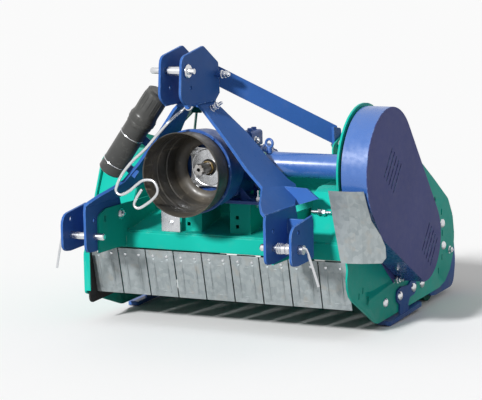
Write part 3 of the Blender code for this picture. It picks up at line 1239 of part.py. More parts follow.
HOOK_R = 0.0055
HOOK_EYE_R = 0.0115
HOOK_PLACE = (0.010, -0.136)
HOOK_LEG = [
    # across, along, height: down the leg, round the low bend, over the shield's front and back
    (-0.014, -0.139, 0.702), (-0.0225, -0.158, 0.690), (-0.0290, -0.187, 0.676), (-0.0422, -0.191, 0.6617),
    (-0.0759, -0.193, 0.6286),
    (-0.1133, -0.197, 0.5893), (-0.1594, -0.200, 0.5511), (-0.1975, -0.203, 0.508), (-0.2139, -0.205, 0.473),
    (-0.2155, -0.205, 0.4588), (-0.206, -0.205, 0.4502), (-0.190, -0.205, 0.452), (-0.1665, -0.205, 0.4652),
    (-0.1466, -0.205, 0.481), (-0.127, -0.205, 0.4945), (-0.107, -0.205, 0.499), (-0.0874, -0.205, 0.4952),
    (-0.0757, -0.205, 0.481), (-0.0757, -0.205, 0.463), (-0.0915, -0.205, 0.443), (-0.117, -0.205, 0.4217),
    (-0.137, -0.205, 0.4095), (-0.1506, -0.205, 0.411), (-0.155, -0.205, 0.4227), (-0.1465, -0.205, 0.4445),
    (-0.127, -0.205, 0.473)]


def hook_rod():
    """Round bar that holds the tractor's drive shaft: an eye, a long leg and a looped hook."""
    eye = Vector((HOOK_PLACE[0], HOOK_PLACE[1], ARM_TOP_Z - ARM_SHEET / 2))
    hub = pivot("hook_axis", eye)
    bm = bmesh.new()
    turn = [eye + HOOK_EYE_R * Vector((math.cos(a), 0, math.sin(a)))
            for a in (math.radians(175 - 41 * s) for s in range(9))]
    wire(bm, turn + [Vector(p) for p in HOOK_LEG], HOOK_R, 6)
    make("shaft_hook", bm, "zinc", hub)


def hook_peg(bm):
    """Headed peg on the strap's front edge that the hook's eye hangs on."""
    peg = HOOK_EYE_R - HOOK_R - RUNNING
    start = ARM_STATIONS[0][2] + 0.002
    length = start - HOOK_PLACE[1] + HOOK_R
    lathe(bm, (HOOK_PLACE[0], start, ARM_TOP_Z - ARM_SHEET / 2), (0, -1, 0),
          [(0, 0), (0, peg), (length + SEAT, peg), (length + SEAT, peg * 1.7), (length + 0.004, peg * 1.7),
           (length + 0.004, 0)], 8)


def settle():
    """Stand the mower on its lowest point, with the middle of its box above the origin."""
    bpy.context.view_layer.update()
    low = Vector((math.inf,) * 3)
    high = Vector((-math.inf,) * 3)
    for piece in bpy.context.scene.objects:
        if piece.type == "MESH" and not piece.hide_render:
            for vertex in piece.data.vertices:
                place = piece.matrix_world @ vertex.co
                low = Vector(map(min, low, place))
                high = Vector(map(max, high, place))
    middle = (low + high) / 2
    root.location = (-middle.x, -middle.y, -low.z)
    bpy.context.view_layer.update()


side_plates()
front_beam()
hood()
hitch_arms()
clevis_plates()
mast_plates()
struts()
for pin_side in (-1, 1):
    lower_pin(pin_side)
pin_bushes()
top_pin()
gearbox()
input_shaft()
drive_shield()
drive_line()
belts()
idler()
belt_cover()
deflector()
rotor()
rotor_bearings()
flaps()
skids()
roller()
rear_flap()
document_tube()
hook_rod()
settle()
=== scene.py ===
"""A three-point hammer knife mower, seen from its hitch side."""
import json
import math

import bmesh
import bpy
from mathutils import Matrix, Vector
from mathutils.bvhtree import BVHTree
from mathutils.geometry import delaunay_2d_cdt

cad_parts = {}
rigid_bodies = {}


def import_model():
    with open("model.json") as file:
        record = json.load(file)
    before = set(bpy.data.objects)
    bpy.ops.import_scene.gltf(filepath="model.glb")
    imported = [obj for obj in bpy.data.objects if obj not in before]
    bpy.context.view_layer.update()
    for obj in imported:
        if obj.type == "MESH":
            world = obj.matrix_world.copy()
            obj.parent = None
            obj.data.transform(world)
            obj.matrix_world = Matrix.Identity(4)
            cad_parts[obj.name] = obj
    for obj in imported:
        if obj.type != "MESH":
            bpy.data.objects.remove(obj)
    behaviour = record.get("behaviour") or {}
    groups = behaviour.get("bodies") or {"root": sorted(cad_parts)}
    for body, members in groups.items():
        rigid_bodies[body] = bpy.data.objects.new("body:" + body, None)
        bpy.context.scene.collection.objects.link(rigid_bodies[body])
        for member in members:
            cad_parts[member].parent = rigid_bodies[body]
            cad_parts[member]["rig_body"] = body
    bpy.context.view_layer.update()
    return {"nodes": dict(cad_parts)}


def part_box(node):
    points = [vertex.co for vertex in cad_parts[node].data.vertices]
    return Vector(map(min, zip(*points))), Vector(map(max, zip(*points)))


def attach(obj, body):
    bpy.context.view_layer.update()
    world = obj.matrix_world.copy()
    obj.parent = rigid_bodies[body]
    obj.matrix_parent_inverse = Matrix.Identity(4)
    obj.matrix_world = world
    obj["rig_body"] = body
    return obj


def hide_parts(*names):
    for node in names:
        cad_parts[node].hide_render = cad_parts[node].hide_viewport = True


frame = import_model()


# Camera: on the hitch side, to the right of the drive shaft and a little above the mast. Its place and
# lens come from lining up the pins, the plates and the flaps with the photograph.
ROD_X, ROD_Y, ROD_Z = 0.00715, 0.0285, 0.238     # the middle of the flaps' rod in the drawing
rod_low, rod_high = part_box("flap_rod")
ZERO = (rod_low + rod_high) / 2 - Vector((ROD_X, ROD_Y, ROD_Z))


def spot(x, y, z):
    """A place of the drawing, whose zero is on the ground under the mast, in the model's frame."""
    return ZERO + Vector((x, y, z))


def link(name, data):
    """A new object in the scene."""
    thing = bpy.data.objects.new(name, data)
    bpy.context.scene.collection.objects.link(thing)
    return thing


EYE = spot(2.9546, -5.7350, 1.3912)
AIM = spot(0.0611, 0.1001, 0.4050)
TILT = math.radians(-1.089)
FOCUS = 2139.11          # lens, in pixels of the photograph
PHOTO = (482, 400)
SENSOR = 36.0
camera_data = bpy.data.cameras.new("camera")
camera_data.lens = SENSOR * FOCUS / PHOTO[0]
camera_data.sensor_width = SENSOR
camera_data.clip_end = 60
camera = link("camera", camera_data)
forward = (AIM - EYE).normalized()
right = forward.cross(Vector((0, 0, 1))).normalized()
up = right.cross(forward)
across = right * math.cos(TILT) + up * math.sin(TILT)
above = up * math.cos(TILT) - right * math.sin(TILT)
camera.matrix_world = Matrix.Translation(EYE) @ Matrix((across, above, -forward)).transposed().to_4x4()
bpy.context.scene.camera = camera
bpy.context.scene.view_settings.view_transform = "Standard"


# Light and ground: a low soft sun from the front left, an even white surround, and a pale floor that
# keeps the shadow. Metal sees the same white surround as the camera.
def socket_of(sockets, name):
    return next(s for s in sockets if s.name == name and s.enabled)


def wire(tree, node, wires):
    """Link the node's inputs to the given sockets, or give them the given values."""
    for name, source in wires.items():
        target = socket_of(node.inputs, name) if isinstance(name, str) else node.inputs[name]
        if hasattr(source, "links"):
            tree.links.new(source, target)
        else:
            target.default_value = source
    return node


def step(tree, kind, wires, **modes):
    """A new node with its modes set and its inputs wired."""
    node = tree.nodes.new(kind)
    for mode, value in modes.items():
        setattr(node, mode, value)
    return wire(tree, node, wires)


def worked(tree, operation, *values):
    return step(tree, "ShaderNodeMath", dict(enumerate(values)), operation=operation).outputs[0]


def band(tree, value, low, high, to_low=0.0, to_high=1.0):
    """The value, stretched from one range to another and held at its ends."""
    return step(tree, "ShaderNodeMapRange", {"Value": value, "From Min": low, "From Max": high,
                                             "To Min": to_low, "To Max": to_high}).outputs["Result"]


def white_to_the_eye(tree, seen, unseen):
    """A value that is `seen` for camera and mirror rays and `unseen` for the light that falls on things."""
    path = tree.nodes.new("ShaderNodeLightPath")
    either = worked(tree, "MAXIMUM", path.outputs["Is Camera Ray"], path.outputs["Is Glossy Ray"])
    either = worked(tree, "MAXIMUM", either, path.outputs["Is Transmission Ray"])
    return band(tree, either, 0.0, 1.0, unseen, seen)


WORLD_SEEN, WORLD_LIGHT = 1.0, 0.46
FLOOR_SEEN, FLOOR_LIGHT = 0.93, 0.32
world = bpy.data.worlds.new("studio")
bpy.context.scene.world = world
world.use_nodes = True
wire(world.node_tree, world.node_tree.nodes["Background"],
     {"Color": (1, 1, 1, 1),
      "Strength": white_to_the_eye(world.node_tree, WORLD_SEEN, WORLD_LIGHT)})

sun_data = bpy.data.lights.new("sun", "SUN")
sun_data.energy = 3.8
sun_data.angle = math.radians(6)
sun = link("sun", sun_data)
sun.rotation_mode = "QUATERNION"
sun.rotation_quaternion = Vector((-0.14, -0.87, 0.47)).to_track_quat("Z", "Y")

FLOOR_DROP = 0.0006      # keeps the floor just clear of the skids
floor_mesh = bpy.data.meshes.new("floor")
floor_mesh.from_pydata([(-30, -30, 0), (30, -30, 0), (30, 60, 0), (-30, 60, 0)], [], [(0, 1, 2, 3)])
floor = link("floor", floor_mesh)
floor.location.z = -FLOOR_DROP
ground = bpy.data.materials.new("ground")
ground.use_nodes = True
level = white_to_the_eye(ground.node_tree, FLOOR_SEEN, FLOOR_LIGHT)
shade = step(ground.node_tree, "ShaderNodeCombineColor", {0: level, 1: level, 2: level})
wire(ground.node_tree, ground.node_tree.nodes["Principled BSDF"],
     {"Base Color": shade.outputs[0], "Roughness": 0.9, "Specular IOR Level": 0.0})
floor_mesh.materials.append(ground)


# Side plates: 6 mm steel sheet, cut to a big rounded profile, with slots for the bolts of the skids and
# the roller. Gloss green paint over the welded body, a little uneven, with road dust and worn edges whose
# lighter green is partly a painted edge highlight.
DUST = (0.30, 0.28, 0.24)


def times(tree, first, second):
    return worked(tree, "MULTIPLY", first, second)


def noise(tree, coordinates, scale, detail=3.0, stretch=(1, 1, 1)):
    """A noise pattern in metres of the piece itself."""
    sized = step(tree, "ShaderNodeMapping", {"Vector": coordinates, "Scale": stretch})
    return step(tree, "ShaderNodeTexNoise",
                {"Vector": sized.outputs[0], "Scale": scale, "Detail": detail}).outputs["Fac"]


def tint(tree, amount, first, second):
    """The first colour where the amount is 0 and the second where it is 1."""
    first, second = (c if hasattr(c, "links") else (*c, 1) for c in (first, second))
    return step(tree, "ShaderNodeMix", {"Factor": amount, 6: first, 7: second}, data_type="RGBA").outputs[2]


def relief(tree, height, strength, depth):
    bump = step(tree, "ShaderNodeBump", {"Height": height, "Strength": strength, "Distance": depth})
    return bump.outputs[0]


def finish(name):
    """A new material, its node tree, its shader and its Object coordinates."""
    material = bpy.data.materials.new(name)
    material.use_nodes = True
    tree = material.node_tree
    place = tree.nodes.new("ShaderNodeTexCoord").outputs["Object"]
    return material, tree, tree.nodes["Principled BSDF"], place


def worn_and_highlit_edges(tree, place, width):
    """1 in broken patches along the outer edges of the sheet, and 0 elsewhere: the mask for wear and for a
    painted edge highlight.
    """
    soft = step(tree, "ShaderNodeBevel", {"Radius": width}, samples=4)
    plain = tree.nodes.new("ShaderNodeNewGeometry")
    turn = step(tree, "ShaderNodeVectorMath", {0: soft.outputs[0], 1: plain.outputs["Normal"]},
                operation="DISTANCE")
    return times(tree, band(tree, turn.outputs["Value"], 0.03, 0.22),
                 band(tree, noise(tree, place, 55.0, 6.0), 0.46, 0.60))


def low_dust(tree, place, top, most):
    """Dust that thins out with height above the ground, in patches."""
    split = step(tree, "ShaderNodeSeparateXYZ", {0: place})
    return times(tree, band(tree, split.outputs["Z"], top, 0.0, 0.0, most),
                 band(tree, noise(tree, place, 13.0, 8.0), 0.40, 0.68))


def enamel(name, colour, deep, edge, rough=0.34, gloss=0.05):
    """Gloss paint: a broad drift of shade, thin dust in patches, worn edges that carry a painted edge
    highlight, and the skin of sprayed paint.
    """
    material, tree, shader, place = finish(name)
    coat = tint(tree, band(tree, noise(tree, place, 4.0, 4.0), 0.35, 0.70), colour, deep)
    coat = tint(tree, band(tree, noise(tree, place, 24.0, 8.0), 0.55, 0.80, 0.0, 0.06), coat, DUST)
    coat = tint(tree, low_dust(tree, place, 0.12, 0.32), coat, DUST)
    # Lighter colour along the edges: partly wear, partly a painted edge highlight.
    coat = tint(tree, worn_and_highlit_edges(tree, place, 0.0012), coat, edge)
    wire(tree, shader, {
        "Base Color": coat,
        "Roughness": band(tree, noise(tree, place, 60.0, 5.0), 0.3, 0.8, rough - 0.05, rough + 0.12),
        "Specular IOR Level": gloss,
        "Normal": relief(tree, noise(tree, place, 380.0, 2.0), 0.10, 0.0006)})
    return material


GREEN = enamel("green_enamel", (0.012, 0.465, 0.372), (0.008, 0.385, 0.300),
               (0.16, 0.52, 0.42))


def fitted(piece, material, body, crease=34, edge=0.0, replaces=None):
    """Give a finished mesh its paint, soft shading, rounded edges, and the body that carries it."""
    mesh = piece.data
    if material.name not in mesh.materials:
        mesh.materials.clear()
        mesh.materials.append(material)
    mesh.shade_smooth()
    mesh.set_sharp_from_angle(angle=math.radians(crease))
    if edge:
        rounding = piece.modifiers.new("rounding", "BEVEL")
        rounding.width = edge
        rounding.segments = 2
        rounding.limit_method = "ANGLE"
        rounding.angle_limit = math.radians(crease + 6)
        rounding.use_clamp_overlap = True
    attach(piece, body)
    if replaces:
        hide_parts(replaces)
    return piece


def joined_faces(bm):
    bmesh.ops.remove_doubles(bm, verts=bm.verts, dist=1e-5)
    bmesh.ops.dissolve_limit(bm, angle_limit=0.004, verts=bm.verts, edges=bm.edges)
    bmesh.ops.recalc_face_normals(bm, faces=bm.faces)


def copied(node):
    """The node's own shape, merged, in a mesh of its own."""
    bm = bmesh.new()
    bm.from_mesh(frame["nodes"][node].data)
    joined_faces(bm)
    return bm


def meshed(name, bm):
    mesh = bpy.data.meshes.new(name)
    bm.to_mesh(mesh)
    bm.free()
    return link(name, mesh)


PLANES = {
    "x": lambda u, v, w: spot(w, u, v),
    "y": lambda u, v, w: spot(u, w, v),
    "z": lambda u, v, w: spot(u, v, w),
}


def inside(point, loops):
    """True where the point lies inside an odd number of the loops."""
    crossings = 0
    for loop in loops:
        for k in range(len(loop)):
            a, b = loop[k - 1], loop[k]
            if (a[1] > point.y) != (b[1] > point.y):
                crossings += point.x < a[0] + (b[0] - a[0]) * (point.y - a[1]) / (b[1] - a[1])
    return crossings % 2 == 1


def sheet(axis, outline, low, high, holes=(), bm=None):
    """A flat sheet across an axis: its outline and holes run from low to high."""
    bm = bmesh.new() if bm is None else bm
    points, edges = [], []
    for loop in [outline, *holes]:
        first = len(points)
        points += [Vector(p[:2]) for p in loop]
        edges += [(k, k + 1) for k in range(first, len(points) - 1)] + [(len(points) - 1, first)]
    flat, _, faces, _, _, _ = delaunay_2d_cdt(points, edges, [], 0, 1e-7)
    faces = [f for f in faces if inside(sum((flat[k] for k in f), Vector((0, 0))) / 3, [outline, *holes])]
    lower = [bm.verts.new(PLANES[axis](p.x, p.y, low)) for p in flat]
    upper = [bm.verts.new(PLANES[axis](p.x, p.y, high)) for p in flat]
    rims = {}
    for face in faces:
        bm.faces.new([lower[k] for k in face])
        bm.faces.new([upper[k] for k in reversed(face)])
        for k in range(len(face)):
            if rims.pop((face[k], face[k - 1]), None) is None:
                rims[(face[k - 1], face[k])] = True
    for a, b in rims:
        bm.faces.new((lower[b], lower[a], upper[a], upper[b]))
    return bm


def rounded(corners, bend=math.radians(12)):
    """A closed outline whose corners with a radius are drawn as arcs."""
    outline = []
    for i, corner in enumerate(corners):
        here = Vector(corner[:2])
        radius = corner[2] if len(corner) > 2 else 0
        if not radius:
            outline.append(here)
            continue
        back = (Vector(corners[i - 1][:2]) - here).normalized()
        ahead = (Vector(corners[(i + 1) % len(corners)][:2]) - here).normalized()
        half = back.angle(ahead) / 2
        middle = here + (back + ahead).normalized() * (radius / math.sin(half))
        start = here + back * (radius / math.tan(half)) - middle
        sweep = math.pi - 2 * half
        turn = 1 if back.y * ahead.x - back.x * ahead.y > 0 else -1
        steps = max(1, round(sweep / bend))
        outline += [middle + Matrix.Rotation(turn * sweep * k / steps, 2) @ start for k in range(steps + 1)]
    return outline


def oblong(middle, half_u, half_v, lean=0.0):
    turn = Matrix.Rotation(lean, 2)
    corners = ((-half_u, -half_v), (half_u, -half_v), (half_u, half_v), (-half_u, half_v))
    return [Vector(middle) + turn @ Vector(c) for c in corners]


def reworked(base, fills, cuts):
    """The base solid with other solids joined to it and then cut out of it."""
    helpers = []
    for bm in (base, *fills, *cuts):
        bmesh.ops.recalc_face_normals(bm, faces=bm.faces)
        helpers.append(meshed("helper", bm))
    for k, tool in enumerate(helpers[1:]):
        change = helpers[0].modifiers.new("change", "BOOLEAN")
        change.operation = "UNION" if k < len(fills) else "DIFFERENCE"
        change.solver = "EXACT"
        change.object = tool
    graph = bpy.context.evaluated_depsgraph_get()
    result = bmesh.new()
    made = bpy.data.meshes.new_from_object(helpers[0].evaluated_get(graph))
    result.from_mesh(made)
    joined_faces(result)
    for helper in helpers:
        bpy.data.meshes.remove(helper.data)
    bpy.data.meshes.remove(made)
    return result


LEFT_FACE, LEFT_INNER, RIGHT_INNER, RIGHT_FACE = -0.444, -0.438, 0.4523, 0.4583
# The plain plates' slots are closed, and cut again where the photograph shows them
OLD_SLOTS = [(0.722, 0.335), (0.722, 0.244), (0.700, 0.172), (0.152, 0.108), (0.172, 0.122),
             (0.4115, 0.0878), (0.510, 0.1001)]
NEW_SLOTS = [(0.782, 0.2866), (0.787, 0.2155), (0.784, 0.1365), (0.751, 0.0960), (0.1163, 0.1448),
             (0.0864, 0.1325)]
PLUG_HALF = (0.0075, 0.012)
SLOT_HALF, SLOT_LEAN, SLOT_REACH = (0.0036, 0.0098), -0.12, 0.001
REAR_EDGE = rounded([(0.5240, 0.5240), (0.7147, 0.4067, 0.3), (0.8426, 0.3240, 0.05), (0.8822, 0.2650),
                     (0.8226, 0.2600), (0.6434, 0.3700), (0.5240, 0.4400)])
PLATES = (("side_plate_left", LEFT_FACE, LEFT_INNER), ("side_plate_right", RIGHT_INNER, RIGHT_FACE))
for node, low, high in PLATES:
    fills = [sheet("x", oblong(place, *PLUG_HALF), low, high) for place in OLD_SLOTS]
    if high > 0:
        fills.append(sheet("x", REAR_EDGE, low, high))
    cuts = [sheet("x", oblong(place, *SLOT_HALF, SLOT_LEAN), low - SLOT_REACH, high + SLOT_REACH)
            for place in NEW_SLOTS]
    fitted(meshed(node + "_skin", reworked(copied(node), fills, cuts)), GREEN, "frame", 34, 0.0008, node)


# Bolts, nuts and rivets: zinc-plated steel. Carriage bolts with big domed heads hold the skids, the
# bearings and the roller to the side plates, and hexagon nuts on washers hold the rest.
SPANGLE = (0.62, 0.66, 0.67)


def plated(name, colour, second, rough, metal, streak=(1, 1, 1), spangle=0.0, stain=None):
    """Bare or plated metal in two clouded shades, with bright crystals or a stain where they are given."""
    material, tree, shader, place = finish(name)
    cloud = band(tree, noise(tree, place, 14.0, 6.0, streak), 0.30, 0.72)
    fine = band(tree, noise(tree, place, 90.0, 8.0, streak), 0.30, 0.75)
    both = worked(tree, "MULTIPLY_ADD", fine, 0.45, band(tree, cloud, 0.0, 1.0, 0.0, 0.55))
    coat = tint(tree, both, colour, second)
    if spangle:
        crystals = step(tree, "ShaderNodeTexVoronoi", {"Vector": place, "Scale": 75.0})
        split = step(tree, "ShaderNodeSeparateColor", {0: crystals.outputs["Color"]})
        coat = tint(tree, band(tree, split.outputs[0], 0.0, 1.0, 0.0, spangle), coat, SPANGLE)
    if stain:
        coat = tint(tree, band(tree, noise(tree, place, 34.0, 9.0), 0.56, 0.74, 0.0, 0.7), coat, stain)
    wire(tree, shader, {
        "Base Color": coat,
        "Roughness": band(tree, fine, 0.0, 1.0, rough - 0.06, rough + 0.10),
        "Metallic": metal,
        "Normal": relief(tree, fine, 0.12, 0.0003)})
    return material


ZINC = plated("bright_zinc", (0.74, 0.75, 0.77), (0.56, 0.57, 0.59), 0.24, 1.0)


def group(name, sizes):
    """An empty node tree: points or paths in, a Finish, and the named sizes in metres."""
    tree = bpy.data.node_groups.new(name, "GeometryNodeTree")
    inputs = [("Geometry", "Geometry"), ("Finish", "Material")] + [(size, "Float") for size in sizes]
    for label, kind in inputs:
        tree.interface.new_socket(label, in_out="INPUT", socket_type="NodeSocket" + kind)
    tree.interface.new_socket("Geometry", in_out="OUTPUT", socket_type="NodeSocketGeometry")
    return tree, tree.nodes.new("NodeGroupInput").outputs


def plus(tree, first, second):
    return worked(tree, "ADD", first, second)


def cone(tree, sides, low, high, depth, lift):
    """A tapered round or six-sided block on the Z axis."""
    block = step(tree, "GeometryNodeMeshCone",
                 {"Vertices": sides, "Radius Top": high, "Radius Bottom": low, "Depth": depth})
    raised = step(tree, "ShaderNodeCombineXYZ", {"Z": lift})
    return step(tree, "GeometryNodeTransform",
                {"Geometry": block.outputs["Mesh"], "Translation": raised.outputs[0]}).outputs[0]


def kept_way(tree, name):
    """The vector that a point keeps under this name."""
    kept = step(tree, "GeometryNodeInputNamedAttribute", {"Name": name}, data_type="FLOAT_VECTOR")
    return socket_of(kept.outputs, "Attribute")


def stood(tree, sizes, blocks, along=None):
    """Stand the blocks on every point, with +Z along its facing, and give them their finish."""
    together = tree.nodes.new("GeometryNodeJoinGeometry")
    for block in blocks:
        tree.links.new(block, together.inputs[0])
    turn = step(tree, "FunctionNodeAlignRotationToVector", {"Vector": kept_way(tree, "facing")}, axis="Z")
    if along:
        last = step(tree, "FunctionNodeAlignRotationToVector",
                    {"Rotation": turn.outputs[0], "Vector": kept_way(tree, along)}, axis="X", pivot_axis="Z")
    else:
        chance = step(tree, "FunctionNodeRandomValue", {"Min": 0.0, "Max": math.tau, "Seed": 7},
                      data_type="FLOAT")
        spin = step(tree, "FunctionNodeAxisAngleToRotation",
                    {"Axis": (0, 0, 1), "Angle": socket_of(chance.outputs, "Value")})
        last = step(tree, "FunctionNodeRotateRotation",
                    {"Rotation": turn.outputs[0], "Rotate By": spin.outputs[0]}, rotation_space="LOCAL")
    placed = step(tree, "GeometryNodeInstanceOnPoints",
                  {"Points": sizes["Geometry"], "Instance": together.outputs[0], "Rotation": last.outputs[0]})
    close(tree, sizes, placed.outputs[0])


def close(tree, sizes, instances):
    real = step(tree, "GeometryNodeRealizeInstances", {"Geometry": instances})
    done = step(tree, "GeometryNodeSetMaterial", {"Geometry": real.outputs[0], "Material": sizes["Finish"]})
    step(tree, "NodeGroupOutput", {"Geometry": done.outputs[0]})


HEX, sizes = group("hexagon_nut", ("Half Width", "Height", "Washer", "Washer Height", "Stud", "Stud Length"))
nut_foot = times(HEX, sizes["Height"], 0.86)
nut_top = plus(HEX, sizes["Washer Height"], nut_foot)
chamfer = times(HEX, sizes["Half Width"], 0.84), times(HEX, sizes["Height"], 0.14)
stood(HEX, sizes, [
    cone(HEX, 18, sizes["Washer"], sizes["Washer"], sizes["Washer Height"], 0.0),
    cone(HEX, 6, sizes["Half Width"], sizes["Half Width"], nut_foot, sizes["Washer Height"]),
    cone(HEX, 6, sizes["Half Width"], *chamfer, nut_top),
    cone(HEX, 12, sizes["Stud"], times(HEX, sizes["Stud"], 0.86), sizes["Stud Length"], nut_top)])

DOME, sizes = group("domed_head", ("Radius", "Height"))
# Three layers: the shares of the radius at foot and top, and of the height for depth and lift
LAYERS = ((1.0, 0.93, 0.35, 0.0), (0.93, 0.72, 0.35, 0.35), (0.72, 0.30, 0.30, 0.70))
stood(DOME, sizes, [
    cone(DOME, 20, times(DOME, sizes["Radius"], low), times(DOME, sizes["Radius"], high),
         times(DOME, sizes["Height"], depth), times(DOME, sizes["Height"], lift))
    for low, high, depth, lift in LAYERS])


def grown(name, tree, places, body, material, paths=(), ways=None, crease=40, **values):
    """Run a tree on points, each with the way it faces, and keep the result as a plain mesh."""
    mesh = bpy.data.meshes.new(name)
    mesh.from_pydata([p for p, _ in places], paths, [])
    for attribute, vectors in (("facing", [w for _, w in places]), ("along", ways)):
        if vectors:
            kept = mesh.attributes.new(attribute, "FLOAT_VECTOR", "POINT")
            for k, vector in enumerate(vectors):
                kept.data[k].vector = vector
    piece = link(name, mesh)
    growth = piece.modifiers.new("growth", "NODES")
    growth.node_group = tree
    values = {key.replace("_", " "): value for key, value in values.items()}
    for item in tree.interface.items_tree:
        if item.in_out == "INPUT" and item.name in values:
            growth[item.identifier] = values[item.name]
        elif item.in_out == "INPUT" and item.name == "Finish":
            growth[item.identifier] = material
    made = bpy.data.meshes.new_from_object(piece.evaluated_get(bpy.context.evaluated_depsgraph_get()))
    piece.modifiers.clear()
    piece.data = made
    return fitted(piece, material, body, crease)


def nuts(name, places, size, material=ZINC, washer=1.3, stud=0.4):
    """Hexagon nuts or heads: size is half the width across the corners."""
    return grown(name, HEX, places, "frame", material, Half_Width=size, Height=size * 0.85,
                 Washer=size * washer, Washer_Height=size * 0.18, Stud=size * 0.52, Stud_Length=size * stud)


X_WAY, Y_WAY, Z_WAY = Vector((1, 0, 0)), Vector((0, 1, 0)), Vector((0, 0, 1))
CARRIAGE = [(0.2921, 0.0749), (0.5997, 0.0813), (0.7946, 0.1732), (0.7857, 0.2488)]
SKID_BOLTS = [(0.3968, 0.0776), (0.5116, 0.0837)]
SKID_SHEET = 0.0063
domes = []
for places, out in ((CARRIAGE, 0.0), (SKID_BOLTS, SKID_SHEET)):
    domes += [(spot(RIGHT_FACE + out, y, z), X_WAY) for y, z in places]
    domes += [(spot(LEFT_FACE - out, y, z), -X_WAY) for y, z in places]
grown("plate_bolts", DOME, domes, "frame", ZINC, Radius=0.0150, Height=0.0085)


# Front beam, hood and deck: a square tube across the front, 4 mm sheet bent over the rotor, and the
# plates beside the hitch arms, all welded together and painted green.
WELD, sizes = group("weld_bead", ("Pitch", "Size"))
seam = step(WELD, "GeometryNodeMeshToCurve", {"Mesh": sizes["Geometry"]})
even = step(WELD, "GeometryNodeResampleCurve", {"Curve": seam.outputs[0], "Length": sizes["Pitch"]},
            mode="LENGTH")
ripple = step(WELD, "GeometryNodeMeshUVSphere", {"Segments": 8, "Rings": 6, "Radius": sizes["Size"]})
swell = step(WELD, "FunctionNodeRandomValue", {"Min": (0.8, 0.8, 0.7), "Max": (1.15, 1.15, 1.0), "Seed": 3},
             data_type="FLOAT_VECTOR")
drops = step(WELD, "GeometryNodeInstanceOnPoints",
             {"Points": even.outputs[0], "Instance": ripple.outputs["Mesh"],
              "Scale": socket_of(swell.outputs, "Value")})
close(WELD, sizes, drops.outputs[0])


def welds(name, seams, material, size=0.0026):
    """A bead of weld along each seam, which is a line of places."""
    places, paths = [], []
    for line in seams:
        first = len(places)
        places += [(spot(*p), Z_WAY) for p in line]
        paths += [(k, k + 1) for k in range(first, len(places) - 1)]
    return grown(name, WELD, places, "frame", material, paths=paths, crease=180, Pitch=size * 1.1, Size=size)


def dressed(nodes, material, edge, crease=34):
    """Each node's own shape with joined faces, soft shading and slightly rounded edges."""
    for node in nodes.split():
        body = frame["nodes"][node]["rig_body"]
        fitted(meshed(node + "_skin", copied(node)), material, body, crease, edge, node)


surfaces = {}


def landed(node, start, way):
    """Where a line meets the node's surface, and the way that the surface faces there."""
    if node not in surfaces:
        mesh = frame["nodes"][node].data
        faces = [face.vertices for face in mesh.polygons]
        surfaces[node] = BVHTree.FromPolygons([v.co for v in mesh.vertices], faces)
    place, facing, _, _ = surfaces[node].ray_cast(start, Vector(way).normalized())
    return place, facing


dressed("front_beam hood", GREEN, 0.0010)
BRACKET_INNER = 0.2904
BEAM_BOTTOM, BEAM_TOP = 0.2534, 0.3042
POSTS = [(-0.115, -0.045), (0.052, 0.122)]
POST_FRONT, POST_BACK = 0.040, 0.170
DECK_Y, DECK_RUN, DECK_LOW, DECK_HIGH = 0.050, 0.155, 0.3085, 0.344


def deck(y):
    """Height of the sloping deck behind the beam."""
    return DECK_LOW + (DECK_HIGH - DECK_LOW) * (y - DECK_Y) / DECK_RUN


seams = [[(side * BRACKET_INNER, -0.001, BEAM_BOTTOM + 0.006), (side * BRACKET_INNER, -0.001, BEAM_TOP)]
         for side in (-1, 1)]
for low, high in POSTS:
    seams += [[(low + 0.004, POST_FRONT, deck(POST_FRONT)), (high - 0.004, POST_FRONT, deck(POST_FRONT))],
              [(high, POST_FRONT + 0.006, deck(0.046)), (high, POST_BACK, deck(POST_BACK))]]
seams += [[(side * BRACKET_INNER, 0.010, 0.308), (side * BRACKET_INNER, 0.050, 0.3095),
           (side * BRACKET_INNER, 0.185, deck(0.185))] for side in (-1, 1)]
welds("body_welds", seams, GREEN)

# The bright angle bracket that stands on the deck behind the beam, under the drive shield
BRACKET_LEFT, BRACKET_RIGHT, BRACKET_MIDDLE, BRACKET_TOP = -0.1700, -0.1060, -0.138, 0.386
HEEL_FRONT, HEEL_BACK = 0.0105, 0.036
foot_z = landed("hood", spot(BRACKET_MIDDLE, 0.020, 0.40), -Z_WAY)[0].z - ZERO.z
upright = sheet("y", rounded([(BRACKET_LEFT, foot_z), (BRACKET_RIGHT, foot_z),
                              (BRACKET_RIGHT, BRACKET_TOP, 0.006), (BRACKET_LEFT, BRACKET_TOP, 0.006)]),
                0.010, 0.014)
heel = sheet("x", [(HEEL_FRONT, foot_z), (HEEL_BACK, deck(HEEL_BACK) - 0.001),
                   (HEEL_BACK, deck(HEEL_BACK) + 0.003), (HEEL_FRONT, foot_z + 0.004)],
             BRACKET_LEFT + 0.001, BRACKET_RIGHT - 0.001)
fitted(meshed("angle_bracket", reworked(upright, [heel], [])), ZINC, "frame", 30, 0.0008)
nuts("angle_bracket_bolt", [(spot(-0.1369, 0.010, 0.3362), -Y_WAY)], 0.0072)


# Hitch frame: one thick strap bent over the top and down both sides, with plates welded to it for the
# top link and for the two lower pins. Blue gloss paint, with worn edges in a lighter blue that is partly a
# painted edge highlight.
BLUE_EDGE_HIGHLIGHT = (0.20, 0.34, 0.62)
BLUE = enamel("blue_enamel", (0.046, 0.140, 0.430), (0.036, 0.112, 0.355), BLUE_EDGE_HIGHLIGHT, 0.32)
dressed("hitch_arms clevis_left clevis_right mast_plate_left mast_plate_right", BLUE, 0.0014)
ARM_TOP, ARM_OUTER = 0.7235, 0.3047
MAST_OUTER = 0.0384
CLEVIS_OUTER = 0.3823
WEB_Y, WEB_LOW, WEB_HIGH = -0.086, 0.280, 0.385
